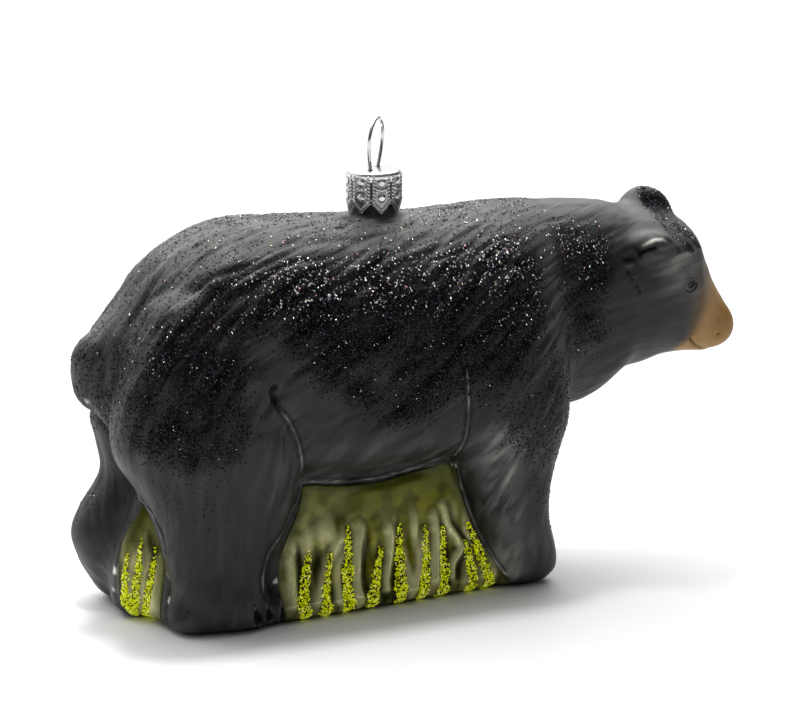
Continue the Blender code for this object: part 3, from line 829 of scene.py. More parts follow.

        # Ear: a flap with a painted highlight along its ridge, over a slit painted dark as shade
        found, away, _, along = beside(head, turned, on_side(EAR_RIDGE, side), 3.0)
        height[found] += 0.5 * hump(away, 0.95) * step(along, 0, 0.15) * step(1 - along, 0, 0.5)
        # The ridge's painted highlight, on the bear's right only
        if side < 0:
            lifted(crest, found, np.clip(1.8 * hump(away, 0.62) * hump(along - 0.55, 0.36), 0, 1))
            lifted(crest, found, 0.45 * hump(away, 1.1) * hump(along - 0.6, 0.35))
        found, away, _, along = beside(head, turned, on_side(EAR_SLIT, side), 2.0)
        height[found] -= 0.75 * hump(away, 0.3) * step(1 - along, 0, 0.2)
        crest[found] *= 1 - hump(away, 0.4)
        lifted(ink, found, hump(away, 0.36) * step(1 - along, 0, 0.12))
        for fold in EAR_FOLDS:
            found, away, _, along = beside(head, turned, on_side(fold, side), 2.0)
            height[found] += 0.22 * hump(away, 0.5) * step(along, 0, 0.2) * step(1 - along, 0, 0.3)
            lifted(crest, found, 0.16 * hump(away, 0.4) * hump(along - 0.5, 0.3))
        # The ear's hollow: dented and painted dark as shade
        away = far(head, np.array(EAR_HOLLOW) * (1, side, 1))
        height -= 0.9 * hump(away, 1.5)
        ink = np.maximum(ink, 0.85 * hump(away, 1.1))

    # A painted highlight over the ear's slit, with the slit's painted shade taken away under it
    found, away, _, along = beside(points, normals, EAR_SHINE, 2.5)
    shine = np.clip(1.3 * hump(away, 0.4) * hump(along - 0.45, 0.42), 0, 1)
    lifted(crest, found, shine)
    ink[found] *= 1 - shine

    # Claws of the near hind foot, and softer toes on the others
    for line, wide in zip(claws, CLAW_WIDTHS):
        found, away, across, along = beside(points, normals, line, 2.4)
        wide = 0.1 + wide * np.sqrt(np.clip(4 * along * (1 - along), 0, 1))
        height[found] += -0.5 * hump(across / wide, 0.8) + 0.3 * hump(across - 1.4 * wide, 0.3)
        # Claw slits painted dark as shade, with a painted highlight along one edge
        lifted(ink, found, step(1 - np.abs(across) / wide, 0, 0.3))
        lifted(crest, found, 0.5 * hump(across - 1.3 * wide, 0.2) * hump(away, 1.5))
    for foot_x, foot_side, low, high in ((24, -1, 18, 34), (26, 1, 18, 36), (-40, 1, -52, -30)):
        near = step(-z, -9, -3) * step(y * foot_side, 4, 8)
        near *= step(x, low, low + 3) * step(-x, -high, 3 - high)
        around = np.arctan2(y - foot_side * 8, x - foot_x) * 9
        height -= 0.3 * near * hump((around + 1.2) % 2.8 - 1.4, 0.3)
    # Gaps beside the grass: dented and painted dark as shade
    for line, wide in GAPS:
        found, away, *_ = beside(points, normals, line, 3.5)
        height[found] -= 0.5 * hump(away, wide)
        lifted(ink, found, 0.9 * hump(away, wide) * (0.7 + 0.5 * drift(points[found] / 1.3)))
    for place, size in SILVER_CHIPS:
        away = far(points, place) * (1 + 0.5 * drift(points[:1] / 0.8)[0])
        crest = np.maximum(crest, 0.95 * step(1.4 - away / size, 0, 0.5))
        ink = ink * (1 - step(1.4 - away / size, 0, 0.5))
    # Scuffs on the cheek and under the tail
    for place in CHIPS:
        away = far(head, np.array(place))
        ink = np.maximum(ink, hump(away, 0.42))
        crest = np.maximum(crest, 0.3 * hump(far(head, np.array(place) + (0.4, 0, 0.35)), 0.22))
    away = np.linalg.norm((points - (-58.3, -1.0, 43)) / (1, 1, 1.6), axis=1)
    crest = np.maximum(crest, 0.9 * hump(away, 0.55))

    points = clear_of_cap(within_box(points + height[:, None] * normals))
    write(mesh, points)
    normals = outward(mesh)
    x, y, z = points.T

    # Where the lacquers lie
    tan_line = np.array(TAN_EDGE, float)
    reach = np.interp(head[:, 2], tan_line[::-1, 1], tan_line[::-1, 0])
    soft = np.interp(head[:, 2], (46, 50, 57), (1.6, 2.4, 4.5))
    tan = step((head[:, 0] - reach) / soft, -0.7, 1.0) * step(head[:, 0], 54, 58)
    keep(mesh, "tan", tan)
    # Pale where silver shows through, and painted highlights
    keep(mesh, "crest", np.clip(crest, 0, 1))
    # Painted shade in grooves, slits, gaps and hollows, and the dark marks on the face
    keep(mesh, "ink", np.clip(ink, 0, 1))
    keep(mesh, "glue", glitter_density(points, normals, lay))
    # Paler lacquer: partly worn, partly a painted sheen
    keep(mesh, "worn", worn_and_painted_sheen_patches(points))
    # Painted sheen: paler on upward faces, as if lit from above
    keep(mesh, "dust", step(normals[:, 2], 0.3, 0.97) * step(z, 20, 34))
    if len(mesh.polygons) * 2 > MOST_TRIANGLES:
        raise RuntimeError(f"the skin has about {len(mesh.polygons) * 2} triangles")


def lines_of_mould(surface):
    """The pressed lines on both sides and the seam at the rear."""
    lines = [on_side(line, -1) for line in (HAUNCH_LINE, SHOULDER_LINE, FORE_EDGE, HIND_EDGE, BELLY_EDGE)]
    lines += [on_side(line, 1) for line in (HAUNCH_LINE, SHOULDER_LINE)]
    return [laid(line, surface) for line in (*lines, REAR_SEAM)]


def worn_and_painted_sheen_patches(points):
    """Where the black lacquer is paler: partly worn thin, partly a painted sheen where the light falls."""
    x, y, z = points.T
    down = np.array(FORE_SCUFF_AND_SHEEN, float)
    right = step(-y, 4, 9)
    worn = hump((x - np.interp(z, down[:, 1], down[:, 0])) / 3.2, 1)
    worn *= step(z, 1, 4) * step(-z, -37, -31) * (0.3 + 0.7 * right)
    worn += 0.3 * hump(np.hypot((x + 27) / 3, (z - 28) / 8), 1) * right
    # Painted sheen on the brow
    worn += 1.3 * hump(far(on_head(points), BROW), 4.6)
    worn += 0.18 * step(-z, -37, -30) * step(z, 22, 26) * step(x, -24, -20) * right
    worn += 0.14 * step(-z, -14, -5) * step(x, 17, 22) * right + 0.09 * step(-z, -14, -4) * step(-x, 26, 30)
    worn += 0.24 * hump((x - 30) / 3.5, 1) * step(z, 46, 54) * right
    worn += 0.2 * step(-x, 46, 52) * step(z, 28, 42)
    worn += 0.45 * hump(np.linalg.norm((points - (-54, 5, 6.5)) / (1, 1, 1.8), axis=1), 4.5)
    return np.clip(worn, 0, 1)


def clear_of_cap(points):
    """Points of the skin kept within the cap's skirt and under its lobes, however the cap is turned."""
    around = np.hypot(points[:, 0], points[:, 1])
    neck = (around < NECK_REACH) & (points[:, 2] > NECK_FOOT)
    reach = np.where(points[neck, 2] < NECK_STEP, NECK_LOW_RADIUS, NECK_RADIUS)
    points[neck, :2] *= np.minimum(reach / np.maximum(around[neck], 0.1), 1)[:, None]
    under = (around > NECK_RADIUS) & (around < SKIRT_REACH) & ~neck
    points[under, 2] = np.minimum(points[under, 2], SKIRT_FOOT)
    return points


def glitter_density(points, normals, lay):
    """How thickly black glitter lies at each point."""
    side_view = points[:, (0, 2)]
    dense = np.zeros(len(points))
    for outline, most in GLITTER_FIELDS:
        dense = np.maximum(dense, most * step(depth_in(side_view, outline), -2.6, 2.8))
    for outline in GLITTER_BARE:
        dense *= 1 - 0.92 * step(depth_in(side_view, outline), -1.5, 2.2)
    # Only a dusting on top of the back
    dense *= 1 - 0.8 * step(normals[:, 2], 0.72, 0.93)
    x, y, z = points.T
    spine = step(normals[:, 2], 0.3, 0.7) * step(-x, -34, -28)
    dense = np.maximum(dense, 0.16 * spine)
    dense = np.maximum(dense, 0.35 * hump(np.linalg.norm((points - (-57, 0, 48)) / (6, 7, 7), axis=1), 1))
    dense = np.maximum(dense, 0.10 * step(-x, 30, 44) * step(z, 34, 42))
    head = on_head(points)
    for line, wide in ((CROWN_STRIP, 1.6), (np.array(CROWN_STRIP) + (1.4, 4, 0.4), 3.2)):
        found, away, _, along = beside(head, normals, line, 6.0)
        wide = wide * (1.15 - 0.55 * along)
        lifted(dense, found, step(wide - away, -0.8, 0.8))
    dense *= step(np.hypot(x, y), SKIRT_REACH, 7.2)
    patchy = 0.75 + 0.55 * drift(points / 5.5, 7.0) + 0.5 * drift(lay / (2.1, 12, 9))
    return np.clip(dense * np.clip(patchy, 0.15, 1.2), 0, 1)


# Grass


def between(line, at):
    """How far across a smooth line of (across, up) stands at given heights."""
    line = smooth(line)
    return np.interp(at, line[:, 1], line[:, 0])


def sheet_frame(side):
    """Ways across and into a grass sheet, and its edges: for the bear's right, its left or its rear."""
    if side:
        return np.array((1.0, 0, 0)), np.array((0, -float(side), 0)), PANEL_LEFT[side], PANEL_RIGHT[side]
    across = np.array(WEDGE_ACROSS)
    return across, np.array((-across[1], across[0], 0)), WEDGE_LEFT, WEDGE_RIGHT


def near_places(points, side):
    """Places on a grass sheet as (across, z). The left panel is drawn as the right one."""
    across, _, left, right = sheet_frame(side)
    z = points[:, 2]
    place = points @ across
    if side > 0:
        share = (place - between(left, z)) / (between(right, z) - between(left, z))
        low, high = between(PANEL_LEFT[-1], z), between(PANEL_RIGHT[-1], z)
        place = low + share * (high - low)
    return np.stack((place, z), 1)


def sheet_edge(points, side):
    """How far inside the edges of a grass sheet points are."""
    across, _, left, right = sheet_frame(side)
    z = points[:, 2]
    place = points @ across
    from_left = (place - between(left, z)) * 0.85
    from_right = (between(right, z) - place) * 0.85
    from_top = between(np.array(PANEL_TOP)[:, ::-1], place) - z if side else WEDGE_TOP - z
    return np.minimum(np.minimum(from_left, from_right), from_top)


def grass_sheet(surface, side, settings):
    """A sheet of grass laid over the skin, with its waves and blades."""
    across, inward, left, right = sheet_frame(side)
    columns, rows = (170, 96) if side else (42, 90)
    bpy.ops.object.select_all(action="DESELECT")
    bpy.ops.mesh.primitive_grid_add(x_subdivisions=columns, y_subdivisions=rows, size=1.0)
    sheet = bpy.context.active_object
    sheet.name = "grass_sheet"
    mesh = sheet.data
    u, v, _ = (numbers(mesh.vertices, "co", 3) + 0.5).T
    z = 0.25 + v * 25
    for _ in range(6):
        place = between(left, z) + u * (between(right, z) - between(left, z))
        top = between(np.array(PANEL_TOP)[:, ::-1], place) if side else np.full(len(z), WEDGE_TOP)
        z = 0.25 + v * (top - 0.25)
    starts = place[:, None] * across + z[:, None] * (0, 0, 1) - 70 * inward
    points = []
    for start in starts.tolist():
        points.append(surface.ray_cast(start, inward.tolist())[0] or points[-1])
    points = np.array(points)
    write(mesh, points)
    if (outward(mesh) @ inward).mean() > 0:
        edited(sheet, bpy.ops.mesh.flip_normals)
    normals = outward(mesh)

    place = near_places(points, side)
    seed = 5.0 * side
    depth = np.full(len(points), seed)
    rise, trough, blade = np.zeros((3, len(points)))
    for number, wave in enumerate(WAVES if side else ()):
        line = smooth(wave)
        away, along = flat_distance(place, line)
        centre = np.interp(place[:, 1], line[:, 1], line[:, 0])
        body = step(along, 0, 0.1) * (1 - 0.55 * step(along, 0.5, 1)) * step(1 - along, 0, 0.12)
        width = 0.95 + 0.2 * math.sin(number * 2.3)
        rise = np.maximum(rise, body * hump(away, width))
        trough = np.maximum(trough, body * hump(away, 2.6) * hump(place[:, 0] - centre - 1.7, 0.85))
    for line in BLADES if side else WEDGE_BLADES:
        away, along = flat_distance(place, smooth(line))
        blade = np.maximum(blade, hump(away, 1.05 - 0.45 * along) * step(1 - along, 0, 0.1))
    low = step(-place[:, 1], -20, -12)
    folds = drift(np.stack((place[:, 0] / 1.9, place[:, 1] / 13, depth), 1))
    swells = drift(np.stack((place[:, 0] / 5.5, place[:, 1] / 6.5, depth + 9), 1))
    edge = np.minimum(u, 1 - u) * (between(right, z) - between(left, z))
    edge = np.minimum(edge, (1 - v) * 24) if side else edge
    height = settings.wave_height / MM * (rise - 0.6 * trough) + 0.28 * blade
    height += 0.55 * folds * low + 0.35 * swells
    height = 0.1 + height * step(edge, 0.2, 1.8) * step(z, 0.3, 2.0)
    write(mesh, points + height[:, None] * normals)
    keep(mesh, "rise", np.clip(rise * 1.3 + 0.9 * np.clip(folds * 2, 0, 1) * low, 0, 1))
    # Painted shade in the trough beside each wave and in the hollows of the folds
    keep(mesh, "trough", np.clip(1.5 * trough + np.clip(-folds * 2.5, 0, 1) * low, 0, 1) * (1 - rise))
    cloud = drift(np.stack((place[:, 0] / 4.2, place[:, 1] / 5, depth + 20), 1)) + 0.4 * drift(points / 2.1)
    pale = hump((place[:, 0] + 18) / 6.5, 1) * hump((place[:, 1] - 17) / 5, 1)
    pale += 0.8 * step(-place[:, 0], 17, 22) * low + 0.5 * step(-place[:, 1], -8, -2)
    keep(mesh, "pale", np.clip(pale * (0.6 + 1.1 * cloud), 0, 1))
    # Darker towards the top: painted shade under the belly
    keep(mesh, "high", np.clip((z - 14) / 9, 0, 1))
    keep(mesh, "blade", blade)
    keep(mesh, "stain", step(-cloud - 0.5 * drift(points / 1.6, 3.0), 0.0, 0.45))
    # Distance from the sheet's edges, where painted shade darkens the grass
    keep(mesh, "edge", np.clip(edge, 0, 3))
    walled(sheet, 0.5 * MM)
    return sheet


def grass_panels(surface, settings):
    """The grass on both sides and between the hind legs, as one piece."""
    grass = united([grass_sheet(surface, side, settings) for side in (-1, 1, 0)], "grass_panels")
    bpy.ops.object.shade_smooth()
    return grass


# Glitter


def triangles_of(mesh):
    """A mesh's triangles as point numbers."""
    mesh.calc_loop_triangles()
    return numbers(mesh.loop_triangles, "vertices", 3, np.int32)


def areas(points, triangles):
    """The triangles' areas."""
    a, b, c = (points[triangles[:, corner]] for corner in range(3))
    return np.linalg.norm(np.cross(b - a, c - a), axis=1) / 2


def scattered(points, normals, triangles, density, count, chance):
    """Places and normals scattered over triangles, kept as often as the density says."""
    sums = np.cumsum(areas(points, triangles) * density[triangles].mean(1))
    picked = np.searchsorted(sums, chance.random(count) * sums[-1])
    u, v = chance.random((2, count))
    over = u + v > 1
    u[over], v[over] = 1 - u[over], 1 - v[over]
    shares = np.stack((1 - u - v, u, v), 1)[:, :, None]
    corners = triangles[picked]
    return (points[corners] * shares).sum(1), (normals[corners] * shares).sum(1)


def flakes_mesh(name, roots, normals, width, tilt, lift, chance, tones=None):
    """Many small faceted flakes in one mesh, each a low pyramid standing on its root."""
    count = len(roots)
    tones = chance.random(count) if tones is None else tones
    normals = normals / (np.linalg.norm(normals, axis=1)[:, None] + 1e-9)
    lean = normals + tilt * chance.normal(size=(count, 3))
    lean /= np.linalg.norm(lean, axis=1)[:, None]
    side = np.cross(lean, chance.normal(size=(count, 3)))
    side /= np.linalg.norm(side, axis=1)[:, None]
    other = np.cross(lean, side)
    size = width * chance.uniform(0.6, 1.25, count) * (1 + 0.2 * (tones > 0.93))
    long = chance.uniform(0.8, 1.45, count)
    corners = []
    for turn in (0.4, 2.5, 4.5):
        turn = turn + chance.uniform(-0.5, 0.5, count)
        corners.append(
            roots
            + side * (size * 0.6 * long * np.cos(turn))[:, None]
            + other * (size * 0.6 / long * np.sin(turn))[:, None]
            - normals * (0.02 * width)
        )
    apex = roots + lean * (size * lift)[:, None] + side * (size * chance.uniform(-0.3, 0.3, count))[:, None]
    points = np.stack((*corners, apex), 1).reshape(-1, 3)
    first = np.arange(count)[:, None, None] * 4
    faces = (first + np.array(((0, 1, 3), (1, 2, 3), (2, 0, 3), (0, 2, 1)))).reshape(-1, 3)
    a, b, c = (points[faces[:, corner]] for corner in range(3))
    middles = points.reshape(-1, 4, 3).mean(1)[faces[:, 0] // 4]
    flipped = (np.cross(b - a, c - a) * (a + b + c - 3 * middles)).sum(1) < 0
    faces[flipped] = faces[flipped][:, ::-1]
    mesh = bpy.data.meshes.new(name)
    mesh.vertices.add(len(points))
    mesh.loops.add(faces.size)
    mesh.polygons.add(len(faces))
    mesh.loops.foreach_set("vertex_index", faces.ravel().astype(np.int32))
    mesh.polygons.foreach_set("loop_start", np.arange(0, faces.size, 3, dtype=np.int32))
    mesh.polygons.foreach_set("loop_total", np.full(len(faces), 3, np.int32))
    write(mesh, within_box(points, 0.005))
    mesh.update(calc_edges=True)
    keep(mesh, "tone", np.repeat(tones, 4))
    places = np.repeat(roots, 4, 0)
    around = np.arctan2(places[:, 1], places[:, 2] - 45) / (2 * math.pi) + 0.5
    ahead = (places[:, 0] + 62) / 140
    small = np.tile(np.array(((0, 0), (1, 0), (0, 1), (0.5, 0.5))) * 0.003, (count, 1))
    flat = np.stack((ahead, around), 1) * 0.99 + small
    layer = mesh.uv_layers.new(name="OFBake")
    layer.data.foreach_set("uv", flat[faces.ravel()].astype(np.float32).ravel())
    return added(name, mesh)


# Materials


class Nodes:
    """Makers for the nodes and links of one tree."""

    def __init__(self, tree):
        self.tree = tree

    def node(self, kind, **values):
        """A node with these inputs and properties."""
        made = self.tree.nodes.new(kind)
        for key, value in values.items():
            if key in made.inputs:
                made.inputs[key].default_value = value
            else:
                setattr(made, key, value)
        return made

    def give(self, socket, value):
        """Links a socket to another, or sets its number or colour."""
        if isinstance(value, bpy.types.NodeSocket):
            self.tree.links.new(value, socket)
        else:
            socket.default_value = value if isinstance(value, (int, float)) else (*value, 1.0)

    def stored(self, name, output="Fac"):
        """What is stored on the mesh."""
        return self.node("ShaderNodeAttribute", attribute_name=name).outputs[output]

    def mix(self, share, first, second):
        """Two colours mixed by a share."""
        made = self.node("ShaderNodeMix", data_type="RGBA")
        for number, value in ((0, share), (6, first), (7, second)):
            self.give(made.inputs[number], value)
        return made.outputs[2]

    def reckon(self, operation, *values):
        """A sum on numbers."""
        made = self.node("ShaderNodeMath", operation=operation)
        for socket, value in zip(made.inputs, values):
            self.give(socket, value)
        return made.outputs[0]

    def times(self, first, second):
        """One number times another."""
        return self.reckon("MULTIPLY", first, second)

    def ranged(self, value, low, high, first=0.0, second=1.0, kind="LINEAR"):
        """A number brought from one range to another."""
        made = self.node("ShaderNodeMapRange", interpolation_type=kind)
        for label, number in (("From Min", low), ("From Max", high), ("To Min", first), ("To Max", second)):
            made.inputs[label].default_value = number
        self.give(made.inputs["Value"], value)
        return made.outputs["Result"]


class Paint(Nodes):
    """A new material with its shader."""

    def __init__(self, name):
        self.material = bpy.data.materials.new(name)
        self.material.use_nodes = True
        super().__init__(self.material.node_tree)

    def uneven(self, scale):
        """The shared unevenness, with clouds of this scale."""
        made = self.node("ShaderNodeGroup")
        made.node_tree = clouds_group()
        made.inputs["Cloud Scale"].default_value = scale
        return made.outputs

    def bumped(self, height, strength, distance):
        """Normals roughened by a height."""
        bump = self.node("ShaderNodeBump", Strength=strength, Distance=distance)
        self.give(bump.inputs["Height"], height)
        return bump.outputs["Normal"]

    def finished(self, values):
        """The material, once its shader's inputs are linked or set."""
        for label, value in values.items():
            self.give(self.tree.nodes["Principled BSDF"].inputs[label], value)
        return self.material


def clouds_group():
    """Uneven lacquer: soft clouds, fine grain and specks, from 0 to 1."""
    name = "uneven lacquer"
    if name in bpy.data.node_groups:
        return bpy.data.node_groups[name]
    group = bpy.data.node_groups.new(name, "ShaderNodeTree")
    for label, value in (("Cloud Scale", 120.0), ("Grain Scale", 2600.0), ("Speck Scale", 700.0)):
        socket = group.interface.new_socket(label, in_out="INPUT", socket_type="NodeSocketFloat")
        socket.default_value = value
        socket.min_value = 0
    for label in ("Cloud", "Grain", "Specks"):
        group.interface.new_socket(label, in_out="OUTPUT", socket_type="NodeSocketFloat")
    nodes = Nodes(group)
    into, out = nodes.node("NodeGroupInput"), nodes.node("NodeGroupOutput")
    place = nodes.node("ShaderNodeTexCoord").outputs["Object"]
    noises = ("Cloud", 3.0, 0.35, 0.68), ("Grain", 2.0, 0.3, 0.7), ("Specks", 1.0, 0.66, 0.74)
    for label, detail, low, high in noises:
        texture = nodes.node("ShaderNodeTexNoise", Detail=detail)
        nodes.give(texture.inputs["Vector"], place)
        nodes.give(texture.inputs["Scale"], into.outputs[label.rstrip("s") + " Scale"])
        nodes.give(out.inputs[label], nodes.ranged(texture.outputs["Fac"], low, high))
    return group


def lacquer_material(settings):
    """Black lacquer over silvered glass, airbrushed to tan at the muzzle."""
    paint = Paint("black_lacquer_skin")
    mix, times, stored = paint.mix, paint.times, paint.stored
    uneven = paint.uneven(90.0)
    lay = stored("lay", "Vector")

    def combed_noise(across, along, detail):
        scaled = paint.node("ShaderNodeMapping", Scale=(across, along, 1.0))
        paint.give(scaled.inputs["Vector"], lay)
        texture = paint.node("ShaderNodeTexNoise", Scale=1.0, Detail=detail)
        paint.give(texture.inputs["Vector"], scaled.outputs["Vector"])
        return texture.outputs["Fac"]

    streaks = paint.ranged(combed_noise(0.62, 0.1, 3.0), 0.46, 0.7)
    black, warm = np.array(settings.black), np.array(settings.tan)
    base = mix(uneven["Cloud"], black * 0.72, black * 1.25)
    base = mix(times(uneven["Grain"], 0.35), base, black * 1.9)
    base = mix(times(streaks, 0.55), base, black * 4.2)
    patchy = paint.reckon("MULTIPLY_ADD", streaks, 0.75, times(uneven["Cloud"], 0.45))
    # Paler where the lacquer is worn, and a painted sheen where the light falls on the brow, neck, legs and
    # rump
    base = mix(times(stored("worn"), patchy), base, (0.3, 0.297, 0.275))
    # Painted sheen: paler lacquer on upward faces, as if lit from above
    base = mix(times(stored("dust"), 0.85), base, (0.07, 0.073, 0.067))
    base = mix(times(stored("glue"), 0.8), base, black * 0.3)
    tan, ink, crest = stored("tan"), stored("ink"), stored("crest")
    dusk = mix(times(tan, tan), warm * 0.42, warm * 1.2)
    dusk = mix(times(uneven["Cloud"], 0.3), dusk, warm * 0.6)
    base = mix(tan, base, dusk)
    # Near black: painted shade in grooves, slits, gaps and hollows, and the dark marks on the face
    base = mix(times(ink, 0.95), base, (0.003, 0.003, 0.003))
    # Pale where silver shows through thin lacquer, and painted highlights on the ear, the eye's rim, the
    # claws and the threads of the mould lines
    base = mix(times(crest, crest), base, (0.9, 0.88, 0.8))
    rough = paint.reckon("MULTIPLY_ADD", uneven["Cloud"], 0.1, 0.44)
    # Under dense flakes the lacquer gives no shine of its own, and in grooves, slits and hollows its shine
    # is taken away as painted shade
    dull = paint.reckon("MAXIMUM", stored("glue"), times(ink, 0.9))
    metal = paint.reckon("MAXIMUM", times(crest, 0.4), dull)
    # Fine hairs that follow the fur, and the lacquer's own grain
    relief = times(uneven["Grain"], 0.12)
    for across, along, share in ((0.95, 0.13, 1.3), (2.1, 0.16, 0.9), (4.6, 0.3, 0.45)):
        relief = paint.reckon("ADD", relief, times(combed_noise(across, along, 2.0), share))
    return paint.finished({
        "Base Color": base,
        "Roughness": paint.reckon("SUBTRACT", rough, times(crest, 0.22)),
        "Metallic": times(metal, 0.92),
        "Specular IOR Level": 0.35,
        "Normal": paint.bumped(times(relief, stored("combed")), 0.6, 0.0002),
    })


def grass_material(settings):
    """Clear olive lacquer over silver, pale where it ran thin."""
    paint = Paint("olive_glass")
    cloud = paint.uneven(210.0)["Cloud"]
    olive, cream = np.array(settings.olive), np.array(settings.cream)
    base = paint.mix(cloud, olive * 0.4, olive * (1.0, 0.95, 1.0))
    # Painted shade: darker towards the top under the belly, and in the troughs beside the waves
    for name, share, colour in (
        ("high", 0.8, olive * (0.28, 0.31, 0.36)), ("stain", 0.75, olive * (0.2, 0.22, 0.28)),
        ("pale", 0.85, cream * 0.9), ("rise", 0.95, cream * 1.15), ("trough", 1.0, olive * 0.06),
        ("blade", 0.95, olive * 0.08),
    ):
        base = paint.mix(paint.times(paint.stored(name), share), base, colour)
    return paint.finished({
        # Painted shade: darker near the edges, where the grass meets the legs and belly
        "Base Color": paint.mix(paint.ranged(paint.stored("edge"), 0.1, 2.4, 0.9, 0.0), base, olive * 0.1),
        "Metallic": 0.3,
        "Specular IOR Level": 0.2,
        "Roughness": paint.reckon("MULTIPLY_ADD", cloud, 0.12, 0.2),
        "Coat Weight": 0.04,
        "Coat Roughness": 0.08,
        "Normal": paint.bumped(cloud, 0.25, 0.0001),
    })


def glitter_material(name, tones, rough, metallic, painted_glow=0.0, gloss=0.5):
    """Glitter whose flakes take their colour from a list of shares and colours, and which may glow a little
    as painted light.
    """
    paint = Paint(name)
    ramp = paint.node("ShaderNodeValToRGB")
    ramp.color_ramp.interpolation = "CONSTANT"
    elements = ramp.color_ramp.elements
    while len(elements) > 1:
        elements.remove(elements[-1])
    start = 0.0
    for number, (share, colour) in enumerate(tones):
        element = elements[0] if number == 0 else elements.new(start)
        element.position = start
        element.color = (*colour, 1.0)
        start += share
    paint.give(ramp.inputs["Fac"], paint.stored("tone"))
    colour = ramp.outputs["Color"]
    values = {"Base Color": colour, "Roughness": rough, "Metallic": metallic, "Specular IOR Level": gloss}
    # Painted light: the flakes glow though they are no lamp
    if painted_glow:
        values.update({"Emission Color": colour, "Emission Strength": painted_glow})
    return paint.finished(values)


def metal_material(name, colour, rough, scale, dark):
    """Bright metal, darker in its hollows, with fine scratches."""
    paint = Paint(name)
    uneven = paint.uneven(scale)
    colour = np.array(colour)
    base = paint.mix(uneven["Cloud"], colour * 0.86, colour)
    if dark:
        base = paint.mix(paint.stored("hollow"), base, colour * dark)
    return paint.finished({
        "Base Color": base,
        "Roughness": paint.reckon("MULTIPLY_ADD", uneven["Grain"], 0.08, rough),
        "Metallic": 1.0,
        "Normal": paint.bumped(uneven["Grain"], 0.12, 0.00003),
    })


def dress(obj, material):
    """Gives a piece its one material."""
    obj.data.materials.clear()
    obj.data.materials.append(material)


# Crown cap and wire


def lobe_relief(u, z, half):
    """Height of the pressed pattern on one lobe, from 0 to 1."""
    foot = LOBE_FOOT + LOBE_POINT * np.abs(u) / half
    height = np.zeros(u.shape)
    pitch = 0.66
    for side in (-1, 1):
        bead_z = (z - LOBE_HEAD + 0.3) / pitch
        bead = np.hypot((u - side * (half - 0.36)) / 0.95, (bead_z - np.round(bead_z)) * pitch)
        dome = 0.85 * np.sqrt(np.clip(1 - (bead / 0.27) ** 2, 0, 1))
        height = np.maximum(height, dome * (z > foot + 0.75))
    for centre in (80.35, 77.45):
        away = np.hypot(u, z - centre)
        dome = np.sqrt(np.clip(1 - (away / 0.74) ** 2, 0, 1))
        height = np.maximum(height, dome - 0.25 * hump(away, 0.3))
    for x_side in (-1, 1):
        for z_side in (-1, 1):
            arm = np.array(((0, 0), (0.42, 0.22), (0.9, 0.12), (1.05, 0.5))) * (x_side, z_side) + (0, 78.9)
            away = flat_distance(np.stack((u, z), 1), arm)[0]
            height = np.maximum(height, 0.75 * hump(away, 0.15))
    rim = z - foot
    height = np.maximum(height, 0.95 * hump(rim - 0.62, 0.2))
    height = np.maximum(height, 0.6 * hump(rim - 0.05, 0.12))
    return height


def cap_lobe(relief, wall):
    """One pressed lobe of the crown cap, bent round the neck and facing +X."""
    half = math.pi * BEND_RADIUS / LOBES - 0.16
    bpy.ops.mesh.primitive_grid_add(x_subdivisions=36, y_subdivisions=66, size=1.0)
    lobe = bpy.context.active_object
    lobe.name = "cap_lobe"
    mesh = lobe.data
    flat = numbers(mesh.vertices, "co", 3)
    u = flat[:, 0] * 2 * half
    share = flat[:, 1] + 0.5
    foot = LOBE_FOOT + LOBE_POINT * np.abs(u) / half
    z = foot + share * (LOBE_HEAD - foot)
    height = lobe_relief(u, z, half)
    pinch = 1 - 0.04 * step(77.5 - z, 0, 3)
    radius = CAP_RADIUS * pinch - relief / MM * (1 - height) - 0.02
    turn = u / BEND_RADIUS
    write(mesh, np.stack((radius * np.cos(turn), radius * np.sin(turn), z), 1))
    keep(mesh, "hollow", np.clip(1 - 1.6 * height, 0, 1) * (z < LOBE_HEAD - 0.1))
    edited(lobe, bpy.ops.mesh.normals_make_consistent, inside=False)
    if mesh.polygons[len(mesh.polygons) // 2].normal.x < 0:
        edited(lobe, bpy.ops.mesh.flip_normals)
    walled(lobe, wall)
    bpy.ops.object.shade_smooth()
    return lobe


